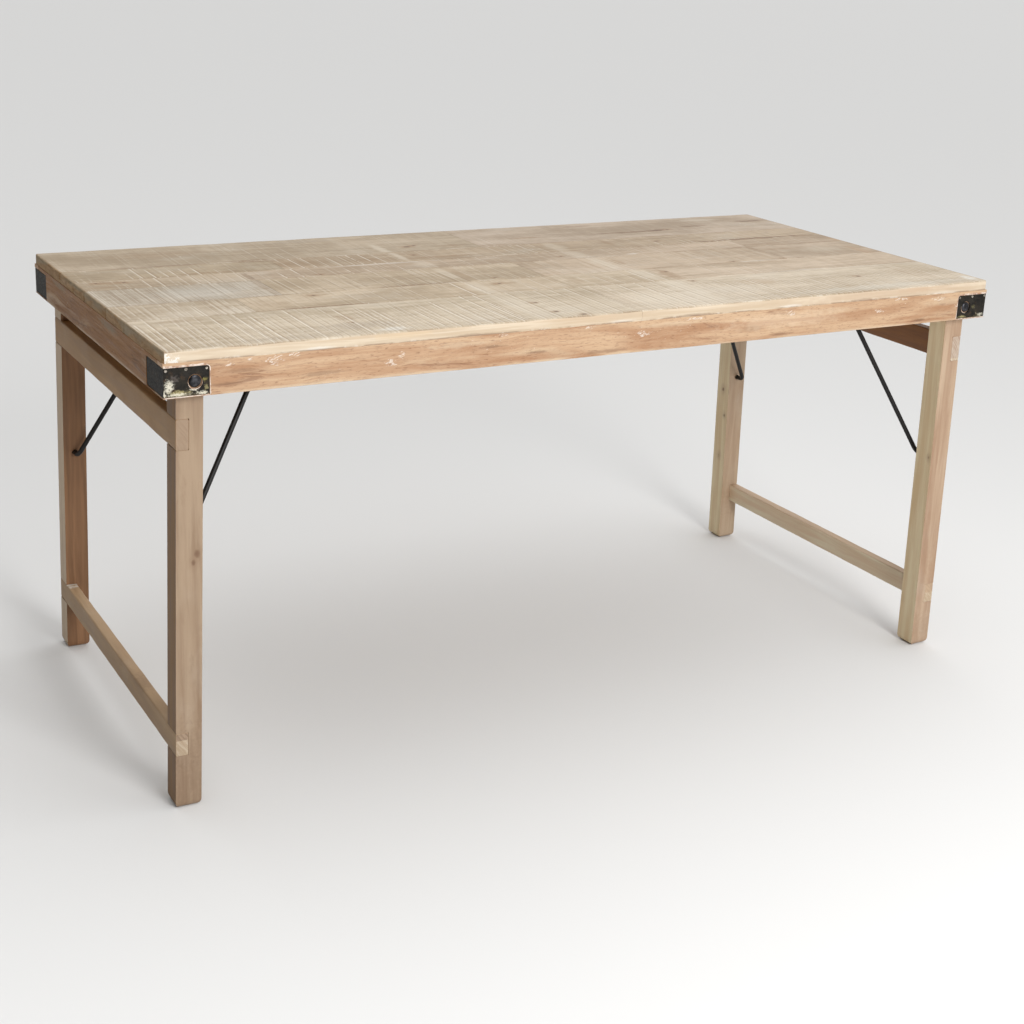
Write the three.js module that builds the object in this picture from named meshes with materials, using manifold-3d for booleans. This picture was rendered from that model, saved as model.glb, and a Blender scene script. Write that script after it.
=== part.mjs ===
// Folding table: a plank top on a shallow apron frame, two folding leg frames and two iron-rod stays.
// Millimetres, +Z up. Origin: centre of the footprint on the floor.
// +X runs along the table, +Y across it to the back. Each leg frame folds inwards about its two pivot bolts.

import * as THREE from "three";
import { mergeVertices } from "three/addons/utils/BufferGeometryUtils.js";
import Module from "manifold-3d";

const wasm = await Module();
wasm.setup();

// ---------------------------------------------------------------- driving dimensions

const TABLE_LENGTH = 1600;
const TABLE_WIDTH = 756;
const TABLE_HEIGHT = 754;

const BOARD_THICKNESS = 17.5;
const BOARD_SEAM = 1;

const APRON_HEIGHT = 53.5;
const APRON_THICKNESS = 25;

const BRACKET_THICKNESS = 2.5;
const BRACKET_HEIGHT = 43;
const BRACKET_LIFT = 2.5;
const BRACKET_SINK = 0.75;
const BRACKET_SIDE_ARM = 69;
const BRACKET_END_ARM = 79;
const BRACKET_CORNER_RADIUS = 4;
const BRACKET_HOLE_RADIUS = 11;
const BRACKET_RECESS_MARGIN = 1;

const LEG_SECTION = 42;
const LEG_END_SETBACK = 27.5;
const LEG_SIDE_SETBACK = 26.5;
const LEG_SPLAY = THREE.MathUtils.degToRad(1.13);
const FOOT_RADIUS = 12;

const PIVOT_HEIGHT = 706;
const BOLT_RADIUS = 5;
const BOLT_HEAD_RADIUS = 9.5;
const BOLT_HEAD_HEIGHT = 3.6;
const WASHER_RADIUS = 12;
const WASHER_THICKNESS = 2;
const NUT_ACROSS_FLATS = 16;
const NUT_THICKNESS = 8;

const RAIL_THICKNESS = 20;
const UPPER_RAIL_HEIGHT = 48;
const UPPER_RAIL_BOTTOM = 594;
const STRETCHER_HEIGHT = 38;
const STRETCHER_BOTTOM = 92;

const ROD_RADIUS = 4.5;
const STAY_PIVOT_X = 571;
const STAY_PIVOT_Z = 729.5;
const STAY_CROSSBAR_HALF = 215;
const STAY_ARM_Y = 287;
const STAY_PEG_DROP = 314;
const STAY_BEND_RADIUS = 14;
const STAY_PEG_GAP = 0.4;

const HANGER_WIDTH = 18;
const HANGER_METAL = 2.5;
const HANGER_FLANGE = 18;
const HANGER_Y = 150;

const CLEAT_WIDTH = 60;
const CLEAT_THICKNESS = 22;
const SIDE_CLEAT_X = 400;
const SIDE_CLEAT_HALF = 230;

const FIT_GAP = 0.3;
const RUNNING_CLEARANCE = 0.1;

// Rows of top boards, front to back: [near edge, far edge, places of the butt joints along X].
const BOARD_ROWS = [
  [-378, -184, [20]],
  [-184, -82, [-585, 5, 215]],
  [-82, 43, [-500, 5, 555]],
  [43, 113, [-500, 555]],
  [113, 200, [-420]],
  [200, 378, [25]],
];

// Derived heights and positions.
const HALF_LENGTH = TABLE_LENGTH / 2;
const HALF_WIDTH = TABLE_WIDTH / 2;
const UNDER_BOARDS = TABLE_HEIGHT - BOARD_THICKNESS;
const APRON_BOTTOM = UNDER_BOARDS - APRON_HEIGHT;
const BRACKET_BOTTOM = APRON_BOTTOM + BRACKET_LIFT;
const PIVOT_X = HALF_LENGTH - LEG_END_SETBACK - LEG_SECTION / 2;
const LEG_OUTER_Y = HALF_WIDTH - LEG_SIDE_SETBACK;
const LEG_INNER_Y = LEG_OUTER_Y - LEG_SECTION;

// ---------------------------------------------------------------- materials

const boardWood = new THREE.MeshStandardMaterial({ color: 0xb39a78, roughness: 0.8, metalness: 0 });
const apronWood = new THREE.MeshStandardMaterial({ color: 0xc79f76, roughness: 0.75, metalness: 0 });
const legWood = new THREE.MeshStandardMaterial({ color: 0xb9a184, roughness: 0.75, metalness: 0 });
const bracketIron = new THREE.MeshStandardMaterial({ color: 0x57524a, roughness: 0.45, metalness: 0.9 });
const rodIron = new THREE.MeshStandardMaterial({ color: 0x1e1c1b, roughness: 0.4, metalness: 0.8 });
const boltSteel = new THREE.MeshStandardMaterial({ color: 0x3a3a3c, roughness: 0.4, metalness: 0.9 });

// ---------------------------------------------------------------- helpers

function toManifold(geometry) {
  const bare = geometry.clone();
  bare.deleteAttribute("normal");
  bare.deleteAttribute("uv");
  const merged = mergeVertices(bare, 1e-4);
  return new wasm.Manifold(new wasm.Mesh({
    numProp: 3,
    vertProperties: new Float32Array(merged.attributes.position.array),
    triVerts: new Uint32Array(merged.index.array),
  }));
}

function toGeometry(manifold) {
  const mesh = manifold.getMesh();
  const geometry = new THREE.BufferGeometry();
  geometry.setAttribute("position", new THREE.BufferAttribute(mesh.vertProperties, 3));
  geometry.setIndex(new THREE.BufferAttribute(mesh.triVerts, 1));
  const flat = geometry.toNonIndexed();
  flat.computeVertexNormals();
  return flat;
}

// Axis-aligned box between two corners.
function boxBetween(x0, x1, y0, y1, z0, z1) {
  const geometry = new THREE.BoxGeometry(x1 - x0, y1 - y0, z1 - z0);
  return geometry.translate((x0 + x1) / 2, (y0 + y1) / 2, (z0 + z1) / 2);
}

// Cylinder along Y between two stations, centred on (x, z).
function cylinderY(x, z, radius, y0, y1, segments = 32) {
  const geometry = new THREE.CylinderGeometry(radius, radius, y1 - y0, segments);
  return geometry.translate(x, (y0 + y1) / 2, z);
}

// Profile drawn in X-Z, extruded along Y from y0 to y1.
function extrudeAlongY(shape, y0, y1, curveSegments = 8) {
  const geometry = new THREE.ExtrudeGeometry(shape, { depth: y1 - y0, bevelEnabled: false, curveSegments });
  return geometry.rotateX(Math.PI / 2).translate(0, y1, 0);
}

// Profile drawn in Y-Z, extruded along X from x0 to x1.
function extrudeAlongX(shape, x0, x1, curveSegments = 8) {
  const geometry = new THREE.ExtrudeGeometry(shape, { depth: x1 - x0, bevelEnabled: false, curveSegments });
  return geometry.rotateX(Math.PI / 2).rotateZ(Math.PI / 2).translate(x0, 0, 0);
}

const table = new THREE.Group();

function place(parent, name, geometry, material) {
  const mesh = new THREE.Mesh(geometry, material);
  mesh.name = name;
  parent.add(mesh);
  return mesh;
}

// ---------------------------------------------------------------- top boards

BOARD_ROWS.forEach(([nearEdge, farEdge, joints], row) => {
  const stations = [-HALF_LENGTH, ...joints, HALF_LENGTH];
  const y0 = nearEdge === -HALF_WIDTH ? nearEdge : nearEdge + BOARD_SEAM / 2;
  const y1 = farEdge === HALF_WIDTH ? farEdge : farEdge - BOARD_SEAM / 2;
  for (let i = 0; i < stations.length - 1; i += 1) {
    const x0 = i === 0 ? stations[i] : stations[i] + BOARD_SEAM / 2;
    const x1 = i === stations.length - 2 ? stations[i + 1] : stations[i + 1] - BOARD_SEAM / 2;
    const geometry = boxBetween(x0, x1, y0, y1, UNDER_BOARDS, TABLE_HEIGHT);
    place(table, `board_row${row + 1}_${i + 1}`, geometry, boardWood);
  }
});

// ---------------------------------------------------------------- aprons with recesses for the brackets

// Block that clears a bracket: one arm on the side face, one on the end face of corner (sx, sy).
function bracketRecess(sx, sy) {
  const depth = BRACKET_SINK + BRACKET_THICKNESS;
  const top = BRACKET_BOTTOM + BRACKET_HEIGHT + BRACKET_RECESS_MARGIN;
  const bottom = BRACKET_BOTTOM - BRACKET_RECESS_MARGIN;
  const sideEnd = HALF_LENGTH - BRACKET_SIDE_ARM - BRACKET_RECESS_MARGIN;
  const endEnd = HALF_WIDTH - BRACKET_END_ARM - BRACKET_RECESS_MARGIN;
  const xs = [sideEnd * sx, (HALF_LENGTH + 5) * sx].sort((a, b) => a - b);
  const ys = [(HALF_WIDTH - depth) * sy, (HALF_WIDTH + 5) * sy].sort((a, b) => a - b);
  const xe = [(HALF_LENGTH - depth) * sx, (HALF_LENGTH + 5) * sx].sort((a, b) => a - b);
  const ye = [endEnd * sy, (HALF_WIDTH + 5) * sy].sort((a, b) => a - b);
  const sideArm = toManifold(boxBetween(xs[0], xs[1], ys[0], ys[1], bottom, top));
  const endArm = toManifold(boxBetween(xe[0], xe[1], ye[0], ye[1], bottom, top));
  return sideArm.add(endArm);
}

for (const [sideName, sy] of [["front", -1], ["back", 1]]) {
  const ys = [(HALF_WIDTH - APRON_THICKNESS) * sy, HALF_WIDTH * sy].sort((a, b) => a - b);
  const bar = boxBetween(-HALF_LENGTH, HALF_LENGTH, ys[0], ys[1], APRON_BOTTOM, UNDER_BOARDS);
  let apron = toManifold(bar);
  for (const sx of [-1, 1]) {
    apron = apron.subtract(bracketRecess(sx, sy));
    const bore = cylinderY(PIVOT_X * sx, PIVOT_HEIGHT, BOLT_RADIUS + RUNNING_CLEARANCE, ys[0] - 5, ys[1] + 5);
    apron = apron.subtract(toManifold(bore));
  }
  place(table, `apron_${sideName}`, toGeometry(apron), apronWood);
}

for (const [endName, sx] of [["left", -1], ["right", 1]]) {
  const xs = [(HALF_LENGTH - APRON_THICKNESS) * sx, HALF_LENGTH * sx].sort((a, b) => a - b);
  const reach = HALF_WIDTH - APRON_THICKNESS;
  let apron = toManifold(boxBetween(xs[0], xs[1], -reach, reach, APRON_BOTTOM, UNDER_BOARDS));
  for (const sy of [-1, 1]) {
    apron = apron.subtract(bracketRecess(sx, sy));
  }
  place(table, `apron_${endName}`, toGeometry(apron), apronWood);
}

// ---------------------------------------------------------------- corner brackets

// Flat plate outline with its two free corners rounded; u runs away from the table corner.
function plateShape(length) {
  const r = BRACKET_CORNER_RADIUS;
  const z0 = BRACKET_BOTTOM;
  const z1 = BRACKET_BOTTOM + BRACKET_HEIGHT;
  const shape = new THREE.Shape();
  shape.moveTo(0, z0);
  shape.lineTo(length - r, z0);
  shape.absarc(length - r, z0 + r, r, -Math.PI / 2, 0, false);
  shape.lineTo(length, z1 - r);
  shape.absarc(length - r, z1 - r, r, 0, Math.PI / 2, false);
  shape.lineTo(0, z1);
  return shape;
}

// Bracket drawn for the corner at (-X, -Y) and mirrored for the other three.
function bracketGeometry(sx, sy) {
  const t = BRACKET_THICKNESS;
  const sidePlate = extrudeAlongY(plateShape(BRACKET_SIDE_ARM), 0, t, 5);
  const endPlate = extrudeAlongX(plateShape(BRACKET_END_ARM), 0, t, 5);
  const hole = cylinderY(HALF_LENGTH - BRACKET_SINK - PIVOT_X, PIVOT_HEIGHT, BRACKET_HOLE_RADIUS, -5, t + 5);
  let solid = toManifold(sidePlate).add(toManifold(endPlate)).subtract(toManifold(hole));
  if (sx > 0) {
    solid = solid.mirror([1, 0, 0]);
  }
  if (sy > 0) {
    solid = solid.mirror([0, 1, 0]);
  }
  return toGeometry(solid.translate([(HALF_LENGTH - BRACKET_SINK) * sx, (HALF_WIDTH - BRACKET_SINK) * sy, 0]));
}

// ---------------------------------------------------------------- pivot bolts, washers, nuts

// Turned profile [radius, station] about the bolt axis, station 0 at the head's bearing face.
function boltGeometry(length) {
  const h = BOLT_HEAD_HEIGHT;
  const points = [
    [0, -h],
    [BOLT_HEAD_RADIUS * 0.7, -h * 0.92],
    [BOLT_HEAD_RADIUS - 0.4, -h * 0.55],
    [BOLT_HEAD_RADIUS, -h * 0.3],
    [BOLT_HEAD_RADIUS, 0],
    [BOLT_RADIUS, 0],
    [BOLT_RADIUS, length - 1],
    [BOLT_RADIUS - 1, length],
    [0, length],
  ].map(([r, s]) => new THREE.Vector2(r, s));
  return new THREE.LatheGeometry(points, 32);
}

function washerGeometry() {
  const bore = BOLT_RADIUS + RUNNING_CLEARANCE;
  const ring = toManifold(cylinderY(0, 0, WASHER_RADIUS, 0, WASHER_THICKNESS));
  return toGeometry(ring.subtract(toManifold(cylinderY(0, 0, bore, -1, WASHER_THICKNESS + 1))));
}

function nutGeometry() {
  const bore = BOLT_RADIUS + RUNNING_CLEARANCE;
  const corner = NUT_ACROSS_FLATS / Math.sqrt(3);
  const body = toManifold(cylinderY(0, 0, corner, 0, NUT_THICKNESS, 6));
  return toGeometry(body.subtract(toManifold(cylinderY(0, 0, bore, -1, NUT_THICKNESS + 1))));
}

const HEAD_SEAT = HALF_WIDTH - BRACKET_SINK - BRACKET_THICKNESS;
const WASHER_SEAT = LEG_INNER_Y - FIT_GAP;
const BOLT_LENGTH = HEAD_SEAT - WASHER_SEAT + WASHER_THICKNESS + NUT_THICKNESS + 3;

for (const [endName, sx] of [["left", -1], ["right", 1]]) {
  for (const [sideName, sy] of [["front", -1], ["back", 1]]) {
    const corner = `${endName}_${sideName}`;
    place(table, `bracket_${corner}`, bracketGeometry(sx, sy), bracketIron);

    // The bolt's own axis is +Y, pointing from its head into the table; a half turn serves the back.
    const stack = new THREE.Group();
    stack.position.set(PIVOT_X * sx, HEAD_SEAT * sy, PIVOT_HEIGHT);
    stack.rotation.z = sy < 0 ? 0 : Math.PI;
    table.add(stack);
    place(stack, `pivot_bolt_${corner}`, boltGeometry(BOLT_LENGTH), boltSteel);
    const washer = place(stack, `washer_${corner}`, washerGeometry(), boltSteel);
    washer.position.y = HEAD_SEAT - WASHER_SEAT;
    const nut = place(stack, `nut_${corner}`, nutGeometry(), boltSteel);
    nut.position.y = HEAD_SEAT - WASHER_SEAT + WASHER_THICKNESS;
  }
}

// ---------------------------------------------------------------- leg frames

// The frame is drawn with its pivot axis on the local origin and its legs square, -Z down the legs.
// Local +X is the outer face side. The group is then tilted by the splay and set on its pivot.

const HALF_LEG = LEG_SECTION / 2;
const LEG_DROP = PIVOT_HEIGHT / Math.cos(LEG_SPLAY);
const SOLE_RISE = HALF_LEG * Math.tan(LEG_SPLAY);

// Side profile in X-Z: round head about the pivot, straight shaft, sole cut level with the floor.
function legSideShape() {
  const r = FOOT_RADIUS;
  const outerSole = -LEG_DROP - SOLE_RISE;
  const innerSole = -LEG_DROP + SOLE_RISE;
  const shape = new THREE.Shape();
  shape.moveTo(-HALF_LEG, 0);
  shape.lineTo(-HALF_LEG, innerSole + r);
  shape.quadraticCurveTo(-HALF_LEG, innerSole, -HALF_LEG + r, innerSole - r * Math.tan(LEG_SPLAY));
  shape.lineTo(HALF_LEG - r, outerSole + r * Math.tan(LEG_SPLAY));
  shape.quadraticCurveTo(HALF_LEG, outerSole, HALF_LEG, outerSole + r);
  shape.lineTo(HALF_LEG, 0);
  shape.absarc(0, 0, HALF_LEG, 0, Math.PI, false);
  return shape;
}

// Front profile in Y-Z: the foot's corners rounded in the other direction too.
function legFrontShape(y0, y1) {
  const r = FOOT_RADIUS;
  const low = -LEG_DROP - 5;
  const sole = -LEG_DROP - SOLE_RISE;
  const shape = new THREE.Shape();
  shape.moveTo(y0 + r, low);
  shape.lineTo(y1 - r, low);
  shape.lineTo(y1 - r, sole);
  shape.quadraticCurveTo(y1, sole, y1, sole + r);
  shape.lineTo(y1, HALF_LEG + 5);
  shape.lineTo(y0, HALF_LEG + 5);
  shape.lineTo(y0, sole + r);
  shape.quadraticCurveTo(y0, sole, y0 + r, sole);
  return shape;
}

// Height above the floor turned into a station down the leg.
function station(height) {
  return height - PIVOT_HEIGHT;
}

function legGeometry(sy) {
  const y0 = Math.min(LEG_OUTER_Y * sy, LEG_INNER_Y * sy);
  const y1 = y0 + LEG_SECTION;
  let leg = toManifold(extrudeAlongY(legSideShape(), y0, y1, 10));
  leg = leg.intersect(toManifold(extrudeAlongX(legFrontShape(y0, y1), -30, 30, 5)));
  const bore = cylinderY(0, 0, BOLT_RADIUS + RUNNING_CLEARANCE, y0 - 5, y1 + 5);
  leg = leg.subtract(toManifold(bore));
  const seat = HALF_LEG - RAIL_THICKNESS - FIT_GAP;
  for (const [bottom, height] of [[UPPER_RAIL_BOTTOM, UPPER_RAIL_HEIGHT], [STRETCHER_BOTTOM, STRETCHER_HEIGHT]]) {
    const z0 = station(bottom) - FIT_GAP;
    const z1 = station(bottom) + height + FIT_GAP;
    leg = leg.subtract(toManifold(boxBetween(seat, HALF_LEG + 5, y0 - 5, y1 + 5, z0, z1)));
  }
  const inner = LEG_INNER_Y * sy;
  const depth = inner + 15 * sy;
  const pegY = [inner - 5 * sy, depth].sort((a, b) => a - b);
  leg = leg.subtract(toManifold(cylinderY(0, -STAY_PEG_DROP, ROD_RADIUS + 0.75, pegY[0], pegY[1], 24)));
  return toGeometry(leg);
}

function railGeometry(bottom, height) {
  const x0 = HALF_LEG - RAIL_THICKNESS;
  const z0 = station(bottom);
  return boxBetween(x0, HALF_LEG, -LEG_OUTER_Y, LEG_OUTER_Y, z0, z0 + height);
}

for (const [endName, sx] of [["left", -1], ["right", 1]]) {
  const frame = new THREE.Group();
  frame.position.set(PIVOT_X * sx, 0, PIVOT_HEIGHT);
  // A half turn about Z makes the left frame out of the right one.
  const turn = new THREE.Group();
  turn.rotation.z = sx < 0 ? Math.PI : 0;
  frame.add(turn);
  const tilt = new THREE.Group();
  tilt.rotation.y = -LEG_SPLAY;
  turn.add(tilt);
  table.add(frame);
  for (const [sideName, sy] of [["front", -1], ["back", 1]]) {
    place(tilt, `leg_${endName}_${sideName}`, legGeometry(sx < 0 ? -sy : sy), legWood);
  }
  place(tilt, `upper_rail_${endName}`, railGeometry(UPPER_RAIL_BOTTOM, UPPER_RAIL_HEIGHT), legWood);
  place(tilt, `lower_stretcher_${endName}`, railGeometry(STRETCHER_BOTTOM, STRETCHER_HEIGHT), legWood);
}

// ---------------------------------------------------------------- iron-rod stays

// A path through given points, one station per point, so that bends keep their own fine spacing.
class RodPath extends THREE.Curve {
  constructor(points) {
    super();
    this.points = points;
  }

  getPoint(t) {
    const n = this.points.length - 1;
    const i = Math.min(Math.floor(t * n + 1e-9), n - 1);
    return this.points[i].clone().lerp(this.points[i + 1], t * n - i);
  }

  getPointAt(u) {
    return this.getPoint(u);
  }

  getTangentAt(u) {
    const n = this.points.length - 1;
    const i = Math.round(u * n);
    const before = this.points[Math.max(i - 1, 0)];
    const after = this.points[Math.min(i + 1, n)];
    const back = this.points[i].clone().sub(before).normalize();
    const ahead = after.clone().sub(this.points[i]).normalize();
    return back.add(ahead).normalize();
  }
}

// Corner points joined by straight runs with arcs of the given radius at each inner corner.
function roundedPolyline(corners, radius, arcSteps) {
  const points = [corners[0]];
  for (let i = 1; i < corners.length - 1; i += 1) {
    const a = corners[i - 1].clone().sub(corners[i]).normalize();
    const b = corners[i + 1].clone().sub(corners[i]).normalize();
    const half = Math.acos(THREE.MathUtils.clamp(a.dot(b), -1, 1)) / 2;
    const bisector = a.clone().add(b).normalize();
    const centre = corners[i].clone().addScaledVector(bisector, radius / Math.sin(half));
    const start = corners[i].clone().addScaledVector(a, radius / Math.tan(half)).sub(centre);
    const end = corners[i].clone().addScaledVector(b, radius / Math.tan(half)).sub(centre);
    const sweep = start.angleTo(end);
    for (let k = 0; k <= arcSteps; k += 1) {
      const f = k / arcSteps;
      const p = start.clone().multiplyScalar(Math.sin((1 - f) * sweep) / Math.sin(sweep));
      p.addScaledVector(end, Math.sin(f * sweep) / Math.sin(sweep));
      points.push(p.add(centre));
    }
  }
  points.push(corners[corners.length - 1]);
  return points;
}

// Stay of the right end: peg, arm, crossbar, arm, peg, all in one plane through the crossbar.
function stayGeometry(sx) {
  const pegX = (PIVOT_X + STAY_PEG_DROP * Math.sin(LEG_SPLAY)) * sx;
  const pegZ = PIVOT_HEIGHT - STAY_PEG_DROP * Math.cos(LEG_SPLAY);
  const pegEnd = LEG_INNER_Y - STAY_PEG_GAP;
  const corners = [
    new THREE.Vector3(pegX, -pegEnd, pegZ),
    new THREE.Vector3(pegX, -STAY_ARM_Y, pegZ),
    new THREE.Vector3(STAY_PIVOT_X * sx, -STAY_CROSSBAR_HALF, STAY_PIVOT_Z),
    new THREE.Vector3(STAY_PIVOT_X * sx, STAY_CROSSBAR_HALF, STAY_PIVOT_Z),
    new THREE.Vector3(pegX, STAY_ARM_Y, pegZ),
    new THREE.Vector3(pegX, pegEnd, pegZ),
  ];
  const path = new RodPath(roundedPolyline(corners, STAY_BEND_RADIUS, 7));
  const section = new THREE.Shape();
  section.absarc(0, 0, ROD_RADIUS, 0, Math.PI * 2, false);
  return new THREE.ExtrudeGeometry(section, {
    steps: path.points.length - 1,
    curveSegments: 8,
    extrudePath: path,
  });
}

// Strap hanger: a saddle under the crossbar with a flange on each side against the boards.
function hangerShape() {
  const inner = ROD_RADIUS + 0.6;
  const outer = inner + HANGER_METAL;
  const top = UNDER_BOARDS - STAY_PIVOT_Z;
  const flangeUnder = top - HANGER_METAL;
  const shape = new THREE.Shape();
  shape.moveTo(-outer - HANGER_FLANGE, flangeUnder);
  shape.lineTo(-outer, flangeUnder);
  shape.lineTo(-outer, 0);
  shape.absarc(0, 0, outer, Math.PI, Math.PI * 2, false);
  shape.lineTo(outer, flangeUnder);
  shape.lineTo(outer + HANGER_FLANGE, flangeUnder);
  shape.lineTo(outer + HANGER_FLANGE, top);
  shape.lineTo(inner, top);
  shape.lineTo(inner, 0);
  shape.absarc(0, 0, inner, 0, -Math.PI, true);
  shape.lineTo(-inner, top);
  shape.lineTo(-outer - HANGER_FLANGE, top);
  return shape;
}

for (const [endName, sx] of [["left", -1], ["right", 1]]) {
  place(table, `stay_rod_${endName}`, stayGeometry(sx), rodIron);
  for (const [sideName, sy] of [["front", -1], ["back", 1]]) {
    const y0 = HANGER_Y * sy - HANGER_WIDTH / 2;
    const geometry = extrudeAlongY(hangerShape(), y0, y0 + HANGER_WIDTH, 10);
    const hanger = place(table, `stay_hanger_${endName}_${sideName}`, geometry, rodIron);
    hanger.position.set(STAY_PIVOT_X * sx, 0, STAY_PIVOT_Z);
  }
}

// ---------------------------------------------------------------- cleats under the boards

const CLEAT_UNDER = UNDER_BOARDS - CLEAT_THICKNESS;
for (const [name, x, half] of [
  ["cleat_left", -SIDE_CLEAT_X, SIDE_CLEAT_HALF],
  ["cleat_middle", 0, HALF_WIDTH - APRON_THICKNESS],
  ["cleat_right", SIDE_CLEAT_X, SIDE_CLEAT_HALF],
]) {
  const x0 = x - CLEAT_WIDTH / 2;
  place(table, name, boxBetween(x0, x0 + CLEAT_WIDTH, -half, half, CLEAT_UNDER, UNDER_BOARDS), apronWood);
}

export default table;
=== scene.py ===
import math

import bmesh
import bpy
from mathutils import Matrix, Vector, noise


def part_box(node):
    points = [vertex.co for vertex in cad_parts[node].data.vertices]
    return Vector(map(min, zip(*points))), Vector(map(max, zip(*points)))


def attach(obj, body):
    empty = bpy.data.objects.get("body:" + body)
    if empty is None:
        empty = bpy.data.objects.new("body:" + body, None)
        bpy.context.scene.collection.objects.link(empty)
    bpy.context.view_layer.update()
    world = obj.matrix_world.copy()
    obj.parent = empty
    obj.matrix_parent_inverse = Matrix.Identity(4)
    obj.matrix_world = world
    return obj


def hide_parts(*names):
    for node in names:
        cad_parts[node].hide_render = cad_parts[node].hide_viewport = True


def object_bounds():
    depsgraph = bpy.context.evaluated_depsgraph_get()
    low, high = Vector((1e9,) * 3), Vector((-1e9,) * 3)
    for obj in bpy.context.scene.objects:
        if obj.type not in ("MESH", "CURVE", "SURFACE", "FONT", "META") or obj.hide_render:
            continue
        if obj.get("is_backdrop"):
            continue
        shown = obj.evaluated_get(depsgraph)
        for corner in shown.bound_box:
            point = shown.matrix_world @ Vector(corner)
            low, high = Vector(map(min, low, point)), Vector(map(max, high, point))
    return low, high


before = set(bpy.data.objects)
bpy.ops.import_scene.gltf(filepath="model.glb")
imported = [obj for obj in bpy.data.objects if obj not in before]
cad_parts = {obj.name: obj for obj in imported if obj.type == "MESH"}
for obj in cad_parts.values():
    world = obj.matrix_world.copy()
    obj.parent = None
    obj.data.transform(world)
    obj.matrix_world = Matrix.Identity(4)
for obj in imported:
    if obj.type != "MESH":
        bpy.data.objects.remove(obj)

cad_low, cad_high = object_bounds()
scene = bpy.context.scene
MM = 0.001

# Everything is in metres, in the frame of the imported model: +X along the table, +Y to its back, +Z up.
ENDS = (("left", -1), ("right", 1))
PIVOT_X, PIVOT_Z = 0.7515, 0.706
SPLAY = math.radians(1.13)
LEG_OUTER_Y = 0.3515
# Rails and stretchers: height of the underside, and of the piece.
RAILS = (("upper_rail", 0.594, 0.048), ("lower_stretcher", 0.092, 0.038))
RAIL_NEAR, RAIL_FAR = 0.001, 0.021
RAIL_SWELL = 0.0002
ROD_RADIUS, ROD_BEND = 0.0043, 0.014
STAY_X, STAY_Z = 0.571, 0.7295
STAY_DROP = 0.314
CROSSBAR_HALF, STAY_ARM_Y, STAY_TIP_Y = 0.215, 0.287, 0.3091

# How far surfaces lie below the brightness they show under the studio light.
LIGHT_LEVEL = 0.8


# ---- shader graphs

def srgb(r, g, b):
    """Linear colour from 0-255 display values."""
    out = []
    for c in (r / 255, g / 255, b / 255):
        out.append(LIGHT_LEVEL * (c / 12.92 if c <= 0.04045 else ((c + 0.055) / 1.055) ** 2.4))
    return (*out, 1.0)


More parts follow.
